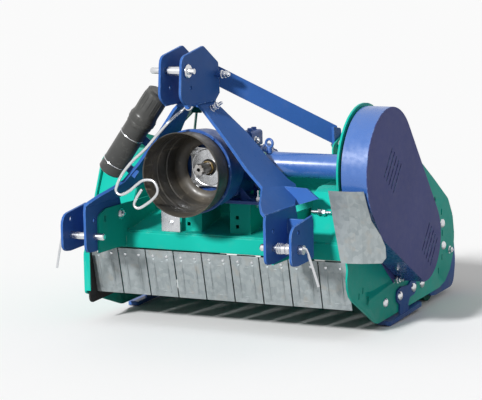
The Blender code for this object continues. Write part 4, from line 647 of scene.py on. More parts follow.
# Seams that both sides have: the place across, then both ends as (along, height)
SIDE_SEAMS = [(MAST_OUTER, (-0.190, ARM_TOP + 0.001), (-0.016, ARM_TOP + 0.001)),
              (CLEVIS_OUTER - 0.004, (WEB_Y, WEB_LOW), (WEB_Y, WEB_HIGH)),
              (ARM_OUTER, (WEB_Y, WEB_LOW), (WEB_Y, WEB_HIGH)),
              (0.3005, (-0.228, 0.4195), (-0.032, 0.4195))]
seams = [[(side * x, *start), (side * x, *end)] for x, start, end in SIDE_SEAMS for side in (-1, 1)]
welds("hitch_welds", seams, BLUE, 0.0030)

BRACKET_BOLT = (-0.030, 0.364)
nuts("bracket_bolts", [(spot(side * BRACKET_INNER, *BRACKET_BOLT), -side * X_WAY) for side in (-1, 1)],
     0.0105, washer=1.72, stud=0.5)
nuts("bracket_bolt_heads", [(spot(side * ARM_OUTER, *BRACKET_BOLT), side * X_WAY) for side in (-1, 1)],
     0.0105, stud=0.06)


def lathed(name, start, way, profile, sides, material, body="frame", crease=34, edge=0.0, replaces=None):
    """A piece turned about an axis, with its profile as pairs of distance along the axis and radius."""
    bm = bmesh.new()
    lie = Matrix.Translation(start) @ Vector(way).to_track_quat("Z", "Y").to_matrix().to_4x4()
    rings = []
    for along, radius in profile:
        turns = [math.tau * k / sides for k in range(sides if radius > 1e-6 else 1)]
        rings.append([bm.verts.new(lie @ Vector((radius * math.cos(a), radius * math.sin(a), along)))
                      for a in turns])
    for k in range(len(rings)):
        a, b = rings[k - 1], rings[k]
        if len(a) == 1 and len(b) == 1:
            continue
        for s in range(sides):
            n = (s + 1) % sides
            corners = [a[s % len(a)], a[n % len(a)], b[n % len(b)], b[s % len(b)]]
            bm.faces.new(list(dict.fromkeys(corners)))
    bmesh.ops.recalc_face_normals(bm, faces=bm.faces)
    return fitted(meshed(name, bm), material, body, crease, edge, replaces)


# The bolt behind the top pin has a painted sleeve, two nuts and a long end. Another goes through the strap.
MAST_BOLT = (-0.006, 0.803)
SLEEVE_LENGTH, SECOND_NUT = 0.019, 0.031
lathed("mast_bolt_sleeve", spot(MAST_OUTER, *MAST_BOLT), X_WAY,
       [(0, 0), (0, 0.0085), (SLEEVE_LENGTH, 0.0085), (SLEEVE_LENGTH, 0)], 24, BLUE, edge=0.0006)
ends = [(spot(MAST_OUTER + SLEEVE_LENGTH, *MAST_BOLT), X_WAY), (spot(-MAST_OUTER, *MAST_BOLT), -X_WAY)]
nuts("mast_bolt", ends, 0.0110, washer=1.15, stud=1.5)
nuts("mast_bolt_second_nut", [(spot(MAST_OUTER + SECOND_NUT, *MAST_BOLT), X_WAY)], 0.0100, washer=1.1,
     stud=0.3)
strap_way = Vector((0.86, 0.0, 0.51)).normalized()
strap_place, _ = landed("hitch_arms", spot(0.14, -0.07, 0.76), Vector((-0.86, 0, -0.55)))
nuts("strap_bolt", [(strap_place, strap_way), (strap_place + strap_way * 0.016, strap_way)], 0.0098,
     washer=1.1, stud=1.6)


def seen_at(node, px, py):
    """The place on the node that the photograph shows at a pixel."""
    ray = forward + across * (px - PHOTO[0] / 2) / FOCUS + above * (PHOTO[1] / 2 - py) / FOCUS
    return landed(node, EYE, ray)


# The long bolt through the green bracket on the right, with a nut and a lock nut
THREAD_R, THREAD_LENGTH = 0.0050, 0.064
SIDE_BOLT_SEEN, SIDE_BOLT_STEP = (316.0, 212.0), Vector((-0.006, -0.010, 0.002))
side_bolt = seen_at("hood", *SIDE_BOLT_SEEN)[0] + SIDE_BOLT_STEP
nuts("side_bolt", [(side_bolt + X_WAY * out, X_WAY) for out in (0.020, 0.034)], 0.0098, washer=1.15, stud=1.6)
lathed("side_bolt_thread", side_bolt - X_WAY * 0.003, X_WAY,
       [(0, 0), (0, THREAD_R), (THREAD_LENGTH, THREAD_R), (THREAD_LENGTH, 0)], 16, ZINC)


# Struts: a flat blue bar from the mast to a bolted ear on the hood at the right, and a V of two thin
# green bars on the left, which is welded, in a darker copy of the hood's green that paints in its shade.
# The hood's green made darker as painted shade; the rotor and the roller use it too.
DARK_GREEN_PAINTED_SHADE = enamel("dark_green_enamel_painted_shade", (0.0, 0.125, 0.092), (0.0, 0.090, 0.066),
                    (0.08, 0.30, 0.24), 0.40)
dressed("strut", BLUE, 0.0010)
dressed("rear_brace", DARK_GREEN_PAINTED_SHADE, 0.0006)
EAR_BOLT = (0.292, 0.563)
nuts("strut_bolt", [(spot(0.3097, *EAR_BOLT), X_WAY), (spot(0.2972, *EAR_BOLT), -X_WAY)], 0.0110)


# Hitch pins: bright turned steel, with a bent handle on each lower pin and ribbed bushes that make them
# fit a thicker ball. The top pin's turned end stands out past the left mast plate.
dressed("lower_pin_left lower_pin_right lower_pin_bush top_link_pin top_pin_bush", ZINC, 0.0005, 30)
CIRCLE = "GeometryNodeCurvePrimitiveCircle"
RING, sizes = group("ring", ("Radius", "Thickness"))
hoop = step(RING, CIRCLE, {"Resolution": 32, "Radius": sizes["Radius"]}, mode="RADIUS")
section = step(RING, CIRCLE, {"Resolution": 8, "Radius": sizes["Thickness"]}, mode="RADIUS")
swept = step(RING, "GeometryNodeCurveToMesh",
             {"Curve": hoop.outputs["Curve"], "Profile Curve": section.outputs["Curve"]})
stood(RING, sizes, [swept.outputs[0]])
PIN_X, PIN_Y, PIN_Z = 0.3415, -0.1835, 0.316
BUSH_RIBS = (-0.021, -0.015, -0.009, 0.006, 0.020)
grown("bush_ribs", RING, [(spot(PIN_X + dx, PIN_Y, PIN_Z), X_WAY) for dx in BUSH_RIBS], "frame", ZINC,
      Radius=0.0150, Thickness=0.0019)
PIN_END = [(0, 0), (0, 0.0095), (0.026, 0.0095), (0.029, 0.0075), (0.029, 0)]
lathed("top_link_pin_end", spot(-0.0520, -0.194, 0.828), -X_WAY, PIN_END, 24, ZINC, "top_link_pin")


# Gearbox: a ribbed iron casting in blue paint, on two green posts. Bolts hold its front flange, its
# cover and its feet; a cast lug and a lifting eye stand on the side of the drive tube.
def casting(name, colour, deep, rough=0.40, edge=(0.16, 0.30, 0.58)):
    """The skin of cast iron: a drift of shade, worn edges that carry a painted edge highlight, and a rough
    sandy surface.
    """
    material, tree, shader, place = finish(name)
    coat = tint(tree, band(tree, noise(tree, place, 9.0, 5.0), 0.35, 0.70), colour, deep)
    # Lighter colour along the edges: partly wear, partly a painted edge highlight.
    coat = tint(tree, worn_and_highlit_edges(tree, place, 0.0018), coat, edge)
    wire(tree, shader, {
        "Base Color": coat,
        "Roughness": band(tree, noise(tree, place, 50.0, 4.0), 0.3, 0.8, rough - 0.08, rough + 0.15),
        "Specular IOR Level": 0.40,
        "Normal": relief(tree, noise(tree, place, 260.0, 6.0), 0.45, 0.0012)})
    return material


CAST_BLUE = casting("cast_blue_enamel", (0.030, 0.105, 0.370), (0.020, 0.070, 0.270))
dressed("gearbox_housing gearbox_cover rotor_bearing_left rotor_bearing_right", CAST_BLUE, 0.0016)
DRIVE_Y, DRIVE_Z = 0.1361, 0.5165
BOX_FRONT, BOX_HALF = 0.022, 0.080
FOOT_TOP, FOOT_SHEET = 0.4135, 0.0102


def bolt_circle(middle, radius, count, first, way):
    """Places evenly round a circle of the drawing, each facing along its axis, which is X or Y."""
    x, y, z = middle
    places = []
    for k in range(count):
        turn = math.radians(first + 360 * k / count)
        out, rise = radius * math.cos(turn), radius * math.sin(turn)
        places.append((spot(x, y + out, z + rise) if way.x else spot(x + out, y, z + rise), way))
    return places


FLANGE = [(0, 0.071), (0.001, 0.092), (0.003, 0.094), (0.010, 0.094), (0.014, 0.088), (0.020, 0.072),
          (0.026, 0.071)]
lathed("gearbox_flange", spot(0, BOX_FRONT + 0.002, DRIVE_Z), Y_WAY, FLANGE, 64, CAST_BLUE)
nuts("gearbox_flange_bolts", bolt_circle((0, BOX_FRONT + 0.003, DRIVE_Z), 0.0835, 8, 22.5, -Y_WAY), 0.0070,
     CAST_BLUE, washer=1.1, stud=0.05)
LUG_TOP = 0.618
LUGS = ((0.060, 0.104, 0.098, 0.172, 0.5700, LUG_TOP), (-0.0815, -0.060, 0.075, 0.165, 0.470, 0.565))
for k, (x0, x1, y0, y1, z0, z1) in enumerate(LUGS):
    lug = sheet("y", rounded([(x0, z0), (x1, z0, 0.006), (x1, z1, 0.009), (x0, z1, 0.006)]), y0, y1)
    fitted(meshed("gearbox_lug_%d" % (k + 1), lug), CAST_BLUE, "frame", 34, 0.002)
nuts("gearbox_lug_bolts", [(spot(0.088, 0.118, LUG_TOP), Z_WAY), (spot(0.084, 0.152, LUG_TOP), Z_WAY)],
     0.0085, CAST_BLUE, washer=1.2, stud=0.06)
nuts("gearbox_lug_screw", [(spot(0.104, 0.120, 0.590), X_WAY)], 0.0098, washer=1.25, stud=0.5)
nuts("gearbox_cover_bolts", [(landed("gearbox_cover", spot(x, y, 0.70), -Z_WAY)[0], Z_WAY)
                             for x in (-0.042, 0.042) for y in (0.066, 0.122, 0.178)],
     0.0062, CAST_BLUE, washer=1.2, stud=0.05)
RIB_HALF = 0.004
gearbox_ribs = bmesh.new()
for x in (-0.050, 0.050):
    sheet("x", [(0.046, FOOT_TOP + 0.004), (0.046, 0.452), (0.034, FOOT_TOP + 0.004)],
          x - RIB_HALF, x + RIB_HALF, bm=gearbox_ribs)
for y in (0.066, 0.158):
    for side, foot, top in ((1, 0.116, 0.452), (-1, 0.104, 0.448)):
        corners = [(BOX_HALF - 0.002, FOOT_TOP - 0.001), (foot, FOOT_TOP - 0.001), (BOX_HALF - 0.002, top)]
        if side < 0:
            corners = [(-corners[k][0], corners[k][1]) for k in (0, 2, 1)]
        sheet("y", corners, y - RIB_HALF, y + RIB_HALF, bm=gearbox_ribs)
bmesh.ops.recalc_face_normals(gearbox_ribs, faces=gearbox_ribs.faces)
fitted(meshed("gearbox_ribs", gearbox_ribs), CAST_BLUE, "frame", 34, 0.0012)
FOOT_BOLTS = [(-0.098, 0.060), (-0.098, 0.150), (0.140, 0.060), (0.140, 0.150)]
nuts("gearbox_foot_bolts", [(spot(x, y, FOOT_TOP), Z_WAY) for x, y in FOOT_BOLTS], 0.0112, washer=1.25,
     stud=1.9)
nuts("gearbox_foot_bolts_under", [(spot(x, y, FOOT_TOP - FOOT_SHEET), -Z_WAY) for x, y in FOOT_BOLTS],
     0.0105, stud=0.1)


# Drive shield: a black plastic bowl round the input shaft, on a bright flange, in a blue bell housing.
# Dull, scuffed and dusty, with dried grease on the splined stub and a rubber seal behind it.
def moulded(name, colour, second, rough, low=0.42, high=0.75, scale=16.0):
    """Plastic or rubber: clouds of dust, fine scratches and a faintly pebbled skin."""
    material, tree, shader, place = finish(name)
    coat = tint(tree, band(tree, noise(tree, place, scale, 8.0), low, high), colour, second)
    scratch = band(tree, noise(tree, place, 70.0, 10.0, (1, 0.15, 1)), 0.60, 0.72, 0.0, 0.5)
    coat = tint(tree, scratch, coat, tuple(2.2 * c for c in second))
    wire(tree, shader, {
        "Base Color": coat,
        "Roughness": band(tree, noise(tree, place, 80.0, 6.0), 0.3, 0.8, rough - 0.06, rough + 0.16),
        "Specular IOR Level": 0.45,
        "Normal": relief(tree, noise(tree, place, 300.0, 3.0), 0.15, 0.0004)})
    return material


SHIELD = moulded("shield_plastic", (0.036, 0.035, 0.032), (0.115, 0.100, 0.078), 0.34,
                 0.36, 0.70, 11.0)
SHIELD_FRONT, HOLE_R = -0.181, 0.072
OUTSIDE = [(0.0, 0.1262), (0.0015, 0.1278), (0.005, 0.128), (0.011, 0.1275), (0.0135, 0.1254),
           (0.018, 0.1248), (0.068, 0.1232), (0.0705, 0.1224), (0.0735, 0.1192), (0.077, 0.1186),
           (0.118, 0.1172), (0.121, 0.1164), (0.124, 0.1132), (0.128, 0.1126), (0.162, 0.1102),
           (0.170, 0.1080), (0.178, 0.1010), (0.183, 0.0945), (0.187, 0.0840), (0.187, HOLE_R)]
INSIDE = [(0.184, HOLE_R), (0.184, 0.0825), (0.180, 0.0920), (0.174, 0.1000), (0.166, 0.1062),
          (0.128, 0.1095), (0.1245, 0.1100), (0.122, 0.1130), (0.080, 0.1150), (0.0765, 0.1158),
          (0.0735, 0.1188), (0.052, 0.1196), (0.049, 0.1180), (0.046, 0.1180), (0.043, 0.1200),
          (0.016, 0.1216), (0.012, 0.1238), (0.002, 0.1246)]
lathed("drive_shield_skin", spot(0, SHIELD_FRONT, DRIVE_Z), Y_WAY, OUTSIDE + INSIDE, 96, SHIELD, "frame", 30,
       replaces="drive_shield")
BELL_START = 0.084
BELL = [(0.0, 0.1200), (0.0, 0.1262), (0.0015, 0.1280), (0.012, 0.1280), (0.0135, 0.1268),
        (0.015, 0.1236), (0.060, 0.1222), (0.095, 0.1200), (0.110, 0.1150), (0.118, 0.1080),
        (0.118, 0.1030), (0.108, 0.1120), (0.094, 0.1165), (0.060, 0.1188), (0.020, 0.1200)]
lathed("bell_housing", spot(0, SHIELD_FRONT + BELL_START, DRIVE_Z), Y_WAY, BELL, 96, CAST_BLUE, "frame", 30)
bell_front = (0, SHIELD_FRONT + BELL_START + 0.0002, DRIVE_Z)
nuts("bell_bolts", bolt_circle(bell_front, 0.1242, 8, 10, -Y_WAY), 0.0042, CAST_BLUE, washer=1.0, stud=0.2)
FLANGE_FRONT = 0.0063
dressed("shield_flange", ZINC, 0.0006)
nuts("shield_flange_bolts", bolt_circle((0, FLANGE_FRONT, DRIVE_Z), 0.0635, 4, 45, -Y_WAY), 0.0080,
     washer=1.15, stud=0.1)
# Black rubber for the seal, belts and apron; also used for black sheets that stand for painted shade.
RUBBER_AND_SHADE = moulded("soft_rubber_and_painted_shade", (0.012, 0.012, 0.012), (0.026, 0.025, 0.023), 0.70)
SEAL = [(0, 0.0190), (0, 0.0245), (0.004, 0.0252), (0.004, 0.0186)]
lathed("shaft_seal", spot(0, 0.0035, DRIVE_Z), Y_WAY, SEAL, 40, RUBBER_AND_SHADE)
grown("flange_ring", RING, [(spot(0, FLANGE_FRONT, DRIVE_Z), Y_WAY)], "frame", ZINC, Radius=0.0560,
      Thickness=0.0016)
GREASE, tree, shader, place = finish("old_grease")
wire(tree, shader, {
    "Base Color": tint(tree, band(tree, noise(tree, place, 120.0, 6.0), 0.35, 0.7), (0.30, 0.20, 0.06),
                       (0.06, 0.045, 0.025)),
    "Roughness": band(tree, noise(tree, place, 90.0, 4.0), 0.3, 0.8, 0.25, 0.60),
    "Normal": relief(tree, noise(tree, place, 240.0, 4.0), 0.5, 0.0015)})
grown("grease_rings", RING, [(spot(0, y, DRIVE_Z), Y_WAY) for y in (0.0010, -0.0035)], "input_shaft", GREASE,
      Radius=0.0180, Thickness=0.0022)
STEEL = plated("bright_steel", (0.46, 0.46, 0.47), (0.27, 0.25, 0.22), 0.38, 1.0,
               stain=(0.16, 0.11, 0.06))
dressed("input_shaft", STEEL, 0.0005)


# Drive tube, pulleys and belts: a painted tube bolted to the gearbox carries the shaft to the pulleys
# behind the cover, where a banded pair of V-belts drives the rotor past a sprung idler wheel.
TUBE_START, TUBE_END, TUBE_R, TUBE_BORE = 0.1283, 0.4520, 0.038, 0.032
COLLAR = [(0, TUBE_BORE), (0, 0.0615), (0.0015, 0.063), (0.009, 0.063), (0.0105, 0.0615), (0.012, 0.052),
          (0.016, 0.0475), (0.030, 0.0415), (0.045, TUBE_R), (TUBE_END - TUBE_START, TUBE_R),
          (TUBE_END - TUBE_START, TUBE_BORE)]
TUBE_BLUE = enamel("tube_enamel", (0.046, 0.140, 0.430), (0.034, 0.110, 0.355), BLUE_EDGE_HIGHLIGHT,
                   0.26, 0.90)
lathed("drive_tube_skin", spot(TUBE_START, DRIVE_Y, DRIVE_Z), X_WAY, COLLAR, 64, TUBE_BLUE, "frame", 30,
       replaces="drive_tube")
nuts("drive_tube_bolts", bolt_circle((TUBE_START + 0.0105, DRIVE_Y, DRIVE_Z), 0.0540, 4, 38, X_WAY), 0.0080,
     CAST_BLUE, washer=1.1, stud=0.6)
EYE_RING = spot(0.1540, 0.1150, 0.5830)
grown("lifting_eye", RING, [(EYE_RING, Y_WAY + 0.2 * X_WAY)], "frame", CAST_BLUE, Radius=0.0125,
      Thickness=0.0042)
lathed("lifting_eye_stem", EYE_RING - Z_WAY * 0.030, Z_WAY,
       [(0, 0), (0, 0.0080), (0.012, 0.0080), (0.018, 0.0060), (0.018, 0)], 16, CAST_BLUE)
nuts("lifting_eye_bolt", [(spot(0.1400, 0.0960, 0.5500), Vector((1, -0.4, 0.3)))], 0.0085, stud=0.6)
dressed("drive_shaft", STEEL, 0.0004)
IRON = casting("bare_iron", (0.085, 0.085, 0.09), (0.05, 0.05, 0.052), 0.45, (0.30, 0.30, 0.31))
dressed("upper_pulley lower_pulley idler_wheel", IRON, 0.0005)
dressed("idler_arm", STEEL, 0.0006)
dressed("drive_belts", RUBBER_AND_SHADE, 0.0)


# Belt cover: 2 mm sheet, a flat face on a rim that follows both pulleys, bolted to the right plate. The
# face has two sets of five slanted louvres, with black sheets behind the slits as painted shade, and is
# duller than the glossy rim, in a darker violet blue that is the rim's blue with painted shade.
# The face's darker violet blue is the rim's blue with shade painted in, since the face looks away from the
# sun.
COVER_BLUE_PAINTED_SHADE = enamel("cover_enamel_painted_shade", (0.078, 0.092, 0.285), (0.066, 0.080, 0.250), BLUE_EDGE_HIGHLIGHT,
                    0.36)
UPPER, LOWER = Vector((DRIVE_Y, DRIVE_Z)), Vector((0.414, 0.2596))
COVER_TOP_R, COVER_LOW_R, COVER_SHEET = 0.1874, 0.1321, 0.002
COVER_BACK, COVER_FRONT = 0.4643, 0.5464
COVER_SIDE, FOOT_SLOPE, FOOT_CORNER = 222, -0.561, (-0.2016, -0.0277)


def swung(middle, radius, first, last, steps):
    """Places along an arc, from one angle in degrees to another."""
    turns = [math.radians(first + (last - first) * k / steps) for k in range(steps + 1)]
    return [Vector((middle[0] + radius * math.cos(a), middle[1] + radius * math.sin(a))) for a in turns]


def cover_outline(shrink):
    """Two arcs, a straight back, and a straight foot with two corners."""
    top_r, low_r = COVER_TOP_R - shrink, COVER_LOW_R - shrink
    run = LOWER - UPPER
    heading = math.degrees(math.atan2(run.y, run.x))
    wrap = math.degrees(math.acos((top_r - low_r) / run.length))
    side = math.radians(COVER_SIDE)
    left = UPPER + top_r * Vector((math.cos(side), math.sin(side)))
    fall = math.tan(side + math.pi / 2)
    bottom = LOWER.y - low_r
    foot = LOWER + Vector((FOOT_CORNER[0], FOOT_CORNER[1] + shrink * math.hypot(1, FOOT_SLOPE)))
    knee_y = (foot.y - left.y - FOOT_SLOPE * foot.x + fall * left.x) / (fall - FOOT_SLOPE)
    knee = Vector((knee_y, foot.y + FOOT_SLOPE * (knee_y - foot.x)))
    corner = Vector((foot.x + (bottom - foot.y) / FOOT_SLOPE, bottom))
    return (swung(UPPER, top_r, heading + wrap, COVER_SIDE, 54) + [knee, corner]
            + swung(LOWER, low_r, -90, heading + wrap, 30))


LOUVRE_SETS = [((0.1462, 0.5792), (0.0174, -0.0140)), ((0.4485, 0.3081), (0.0165, -0.0148))]
LOUVRE_RUN = Vector((-0.0655, -0.0795))
LOUVRE_LEAN = math.atan2(-LOUVRE_RUN.x, LOUVRE_RUN.y) + math.pi
SLIT_HALF, LOUVRE_SHADE_HALF = 0.0021, 0.0045
LOUVRE_SHADE_LOW, LOUVRE_SHADE_HIGH = COVER_FRONT - 0.0031, COVER_FRONT - 0.0021
middles = [Vector(start) + Vector(gap) * k + LOUVRE_RUN / 2 for start, gap in LOUVRE_SETS for k in range(5)]
slits = [oblong(middle, SLIT_HALF, LOUVRE_RUN.length / 2, LOUVRE_LEAN) for middle in middles]
face = sheet("x", cover_outline(0), COVER_FRONT - COVER_SHEET, COVER_FRONT, slits)
rim = sheet("x", cover_outline(0), COVER_BACK, COVER_FRONT - COVER_SHEET, [cover_outline(COVER_SHEET)])
fitted(meshed("belt_cover_rim", rim), TUBE_BLUE, "frame", 30, 0.0, "belt_cover")
fitted(meshed("belt_cover_face", face), COVER_BLUE_PAINTED_SHADE, "frame", 30, 0.0008)
# A black sheet behind each slit: painted shade inside the louvre.
for k, middle in enumerate(middles):
    back = sheet("x", oblong(middle, LOUVRE_SHADE_HALF, LOUVRE_RUN.length / 2, LOUVRE_LEAN), LOUVRE_SHADE_LOW, LOUVRE_SHADE_HIGH)
    fitted(meshed("cover_louvre_%d" % (k + 1), back), RUBBER_AND_SHADE, "frame", 30)
ledge = sheet("x", [(0.232, 0.226), (0.246, 0.247), (0.384, 0.158), (0.371, 0.126), (0.356, 0.126)],
              RIGHT_FACE + 0.0002, RIGHT_FACE + 0.0030)
fitted(meshed("cover_ledge", ledge), COVER_BLUE_PAINTED_SHADE, "frame", 30, 0.0006)
WALL_BOLT_SEEN = (397.5, 268.0)
nuts("cover_wall_bolt", [seen_at("belt_cover", *WALL_BOLT_SEEN)], 0.0055, washer=1.4, stud=0.3)
nuts("cover_foot_bolt", [(spot(RIGHT_FACE + out, 0.3625, 0.1370), X_WAY) for out in (0.0, 0.013)], 0.0098,
     washer=1.25, stud=1.1)


# Deflector: a bent galvanised sheet bolted to the front edge of the right plate, ahead of the cover's
# foot. Its lower outer corner is rounded, and the sheet has a dull, slightly mottled skin.
GALVANISED = plated("dull_galvanised", (0.310, 0.350, 0.358), (0.205, 0.236, 0.246), 0.44,
                    0.45, (1, 1, 0.20), spangle=0.22, stain=(0.34, 0.33, 0.30))
DEFLECTOR_BOLTS, DEFLECTOR_SHEET = ((-0.0085, 0.400), (0.0300, 0.300)), 0.0023
dressed("deflector", GALVANISED, 0.0, 20)
nuts("deflector_bolts", [(spot(RIGHT_FACE + DEFLECTOR_SHEET, y, z), X_WAY) for y, z in DEFLECTOR_BOLTS],
     0.0062, stud=0.2)


# Rotor: a dark green tube with welded lugs, eight cast hammers that swing on bolts, and a cast bearing
# outside each side plate.
dressed("rotor", DARK_GREEN_PAINTED_SHADE, 0.0006)
for k in range(1, 9):
    dressed("hammer_%d" % k, IRON, 0.0012)
nuts("bearing_bolts", bolt_circle((LEFT_FACE - 0.0083, *LOWER), 0.0490, 4, 45, -X_WAY), 0.0078, stud=0.3)


# Front flaps: nine galvanised plates that hang on one rod and swing up under the beam. Each has two long
# pressed ribs with a domed rivet above each, and two small stamped bars, near its top and near its foot.
dressed("flap_rod", STEEL, 0.0004)
FLAPS, FLAP_START, FLAP_STEP, FLAP_GAP = 9, -0.4282, 0.0982, 0.004
SHEET_FRONT = 0.0124
RIB_AWAY, RIB_DOWN, RIB_SINK, RIVET_DOWN = 0.024, 0.070, 0.0003, 0.0075
LENS, sizes = group("pressed_bar", ("Half Length", "Half Width", "Rise"))
ball = step(LENS, "GeometryNodeMeshUVSphere", {"Segments": 20, "Rings": 12, "Radius": 1.0})
squash = step(LENS, "ShaderNodeCombineXYZ",
              {"X": sizes["Half Length"], "Y": sizes["Half Width"], "Z": sizes["Rise"]})
lens = step(LENS, "GeometryNodeTransform", {"Geometry": ball.outputs["Mesh"], "Scale": squash.outputs[0]})
stood(LENS, sizes, [lens.outputs[0]], along="along")
flap_turn = Matrix.Rotation(math.radians(13), 3, "X")
flap_face, flap_down = -(flap_turn @ Y_WAY), -(flap_turn @ Z_WAY)


def on_flap(middle, dx, down, out=SHEET_FRONT):
    """A place on the face of the flap with this middle, and the way that it faces."""
    return spot(middle + dx, ROD_Y, ROD_Z) + flap_turn @ Vector((0, -out, -down)), flap_face


for k in range(FLAPS):
    body = "flap_%d" % (k + 1)
    middle = FLAP_START + FLAP_STEP * k + (FLAP_STEP - FLAP_GAP) / 2
    dressed(body, GALVANISED, 0.0005)
    ribs = [on_flap(middle, dx, RIB_DOWN, SHEET_FRONT - RIB_SINK) for dx in (-RIB_AWAY, RIB_AWAY)]
    grown(body + "_ribs", LENS, ribs, body, GALVANISED, ways=[flap_down, flap_down], Half_Length=0.0560,
          Half_Width=0.0036, Rise=0.0046)
    grown(body + "_rivets", DOME, [on_flap(middle, dx, RIVET_DOWN) for dx in (-RIB_AWAY, RIB_AWAY)],
          body, ZINC, Radius=0.0052, Height=0.0034)
    bars = [on_flap(middle, 0.004 + 0.003 * math.sin(5 * k), 0.026),
            on_flap(middle, -0.002 + 0.004 * math.cos(3 * k), 0.124)]
    grown(body + "_marks", LENS, bars, body, GALVANISED, ways=[X_WAY, X_WAY], Half_Length=0.0085,
          Half_Width=0.0014, Rise=0.0007)


# Skids and roller: a blue shoe under each plate, bolted to it by its leg, with its front edge bent up and
# its tail a little higher, and a dark roller between two brackets behind. A black sheet inside the left plate
# is painted shade in the gap behind the first flap, and a rubber apron hangs under the hood's rear edge.
LEG = rounded([(0.398, 0.012), (0.398, 0.050), (0.378, 0.062, 0.016), (0.370, 0.098, 0.022),
               (0.415, 0.104, 0.020), (0.470, 0.098, 0.030), (0.505, 0.114, 0.022),
               (0.540, 0.102, 0.022), (0.536, 0.062, 0.024), (0.482, 0.058, 0.014), (0.470, 0.040),
               (0.470, 0.012)])
SHOE_FRONT, SHOE_BACK, SHOE_HALF, SHOE_SHEET = 0.286, 0.574, 0.020, 0.013
SHOE_BEND, TAIL_SLOPE, NOSE_RISE, NOSE_POWER = 0.300, 0.052, 0.9, 1.2
LEG_GAP, LEG_SHEET = 0.0003, 0.006
SKIDS = (("skid_left", -1, LEFT_FACE, LEFT_INNER), ("skid_right", 1, RIGHT_FACE, RIGHT_INNER))
for node, side, face_x, inner_x in SKIDS:
    inner, outer = inner_x - side * SHOE_HALF, inner_x + side * SHOE_HALF
    shoe = sheet("z", rounded([(inner, SHOE_FRONT, 0.006), (inner, SHOE_BACK, 0.010),
                               (outer, SHOE_BACK, 0.014), (outer, SHOE_FRONT, 0.016)]), 0.0, SHOE_SHEET)
    for vertex in shoe.verts:
        back = vertex.co.y - ZERO.y - SHOE_BEND
        vertex.co.z += TAIL_SLOPE * max(0.0, back) + NOSE_RISE * max(0.0, -back) ** NOSE_POWER
    leg_x = face_x + side * LEG_GAP
    leg = sheet("x", LEG, *sorted((leg_x, leg_x + side * LEG_SHEET)))
    fitted(meshed(node + "_skin", reworked(shoe, [leg], [])), BLUE, "frame", 34, 0.0014, node)
# A black sheet inside the left plate: painted shade in the gap between the plate and the first flap.
PAINTED_SHADE_SHEET = rounded([(0.009, 0.062, 0.020), (0.009, 0.262), (0.150, 0.262), (0.190, 0.070, 0.030)])
PAINTED_SHADE_SHEET_OUTER, PAINTED_SHADE_SHEET_INNER = -0.4377, -0.4325
painted_shade_sheet = sheet("x", PAINTED_SHADE_SHEET, PAINTED_SHADE_SHEET_OUTER, PAINTED_SHADE_SHEET_INNER)
fitted(meshed("side_painted_shade_sheet", painted_shade_sheet), RUBBER_AND_SHADE, "frame", 34, 0.0006)
dressed("roller_bracket_left roller_bracket_right", BLUE, 0.0010)
dressed("roller", DARK_GREEN_PAINTED_SHADE, 0.0008)
dressed("rear_flap", RUBBER_AND_SHADE, 0.0)
ROLLER_BOLT = (0.852, 0.150)
nuts("roller_bracket_bolts", [(spot(LEFT_FACE, *ROLLER_BOLT), -X_WAY),
                              (spot(RIGHT_FACE, *ROLLER_BOLT), X_WAY)], 0.0100)


# Document tube and its cap: grey plastic with a stepped collar where the ribbed cap slips on, held to
# the left arm by two wire bands.
TUBE = moulded("tube_plastic", (0.034, 0.035, 0.034), (0.052, 0.052, 0.048), 0.36,
               0.40, 0.80, 7.0)
TUBE_LOW, TUBE_HIGH = Vector((-0.2690, -0.130, 0.511)), Vector((-0.0900, -0.130, 0.758))
tube_way = (TUBE_HIGH - TUBE_LOW).normalized()
tube_run = (TUBE_HIGH - TUBE_LOW).length
BODY_SHARE = 0.63
split = tube_run * BODY_SHARE
cap_run = tube_run - split
BODY = [(0, 0), (0, 0.0320), (0.0015, 0.0352), (0.005, 0.0378), (0.010, 0.0380), (split - 0.014, 0.0380),
        (split - 0.012, 0.0398), (split - 0.002, 0.0402), (split, 0.0395), (split, 0.0350),
        (split + 0.025, 0.0350), (split + 0.025, 0.0320), (0.006, 0.0320), (0.006, 0)]
lathed("document_tube_skin", spot(*TUBE_LOW), tube_way, BODY, 64, TUBE, "frame", 30, replaces="document_tube")
CAP = [(0, 0.0356), (0, 0.0412), (0.002, 0.0426), (0.016, 0.0428), (0.018, 0.0412), (0.022, 0.0410),
       (0.024, 0.0396), (0.032, 0.0386), (cap_run - 0.014, 0.0368), (cap_run - 0.005, 0.0345),
       (cap_run, 0.0290), (cap_run, 0), (cap_run - 0.004, 0), (cap_run - 0.004, 0.0356)]
cap_start = spot(*(TUBE_LOW + tube_way * (split + 0.0003)))
lathed("document_cap_skin", cap_start, tube_way, CAP, 64, TUBE, "document_cap", 30, replaces="document_cap")
CAP_RIBS, CAP_RIB_START, CAP_RIB_R = 14, 0.030, 0.0374
rib_half = (cap_run - 0.046) / 2
side_way = tube_way.cross(Y_WAY).normalized()
front_way = tube_way.cross(side_way)
cap_ribs = []
for k in range(CAP_RIBS):
    turn = math.tau * k / CAP_RIBS
    out = side_way * math.cos(turn) + front_way * math.sin(turn)
    cap_ribs.append((cap_start + tube_way * (CAP_RIB_START + rib_half) + out * CAP_RIB_R, out))
grown("document_cap_ribs", LENS, cap_ribs, "document_cap", TUBE, ways=[tube_way] * CAP_RIBS,
      Half_Length=rib_half, Half_Width=0.0030, Rise=0.0014)
bands = [(spot(*(TUBE_LOW + tube_way * tube_run * share)), tube_way) for share in (0.12, 0.46)]
grown("document_tube_bands", RING, bands, "frame", ZINC, Radius=0.0386, Thickness=0.0014)


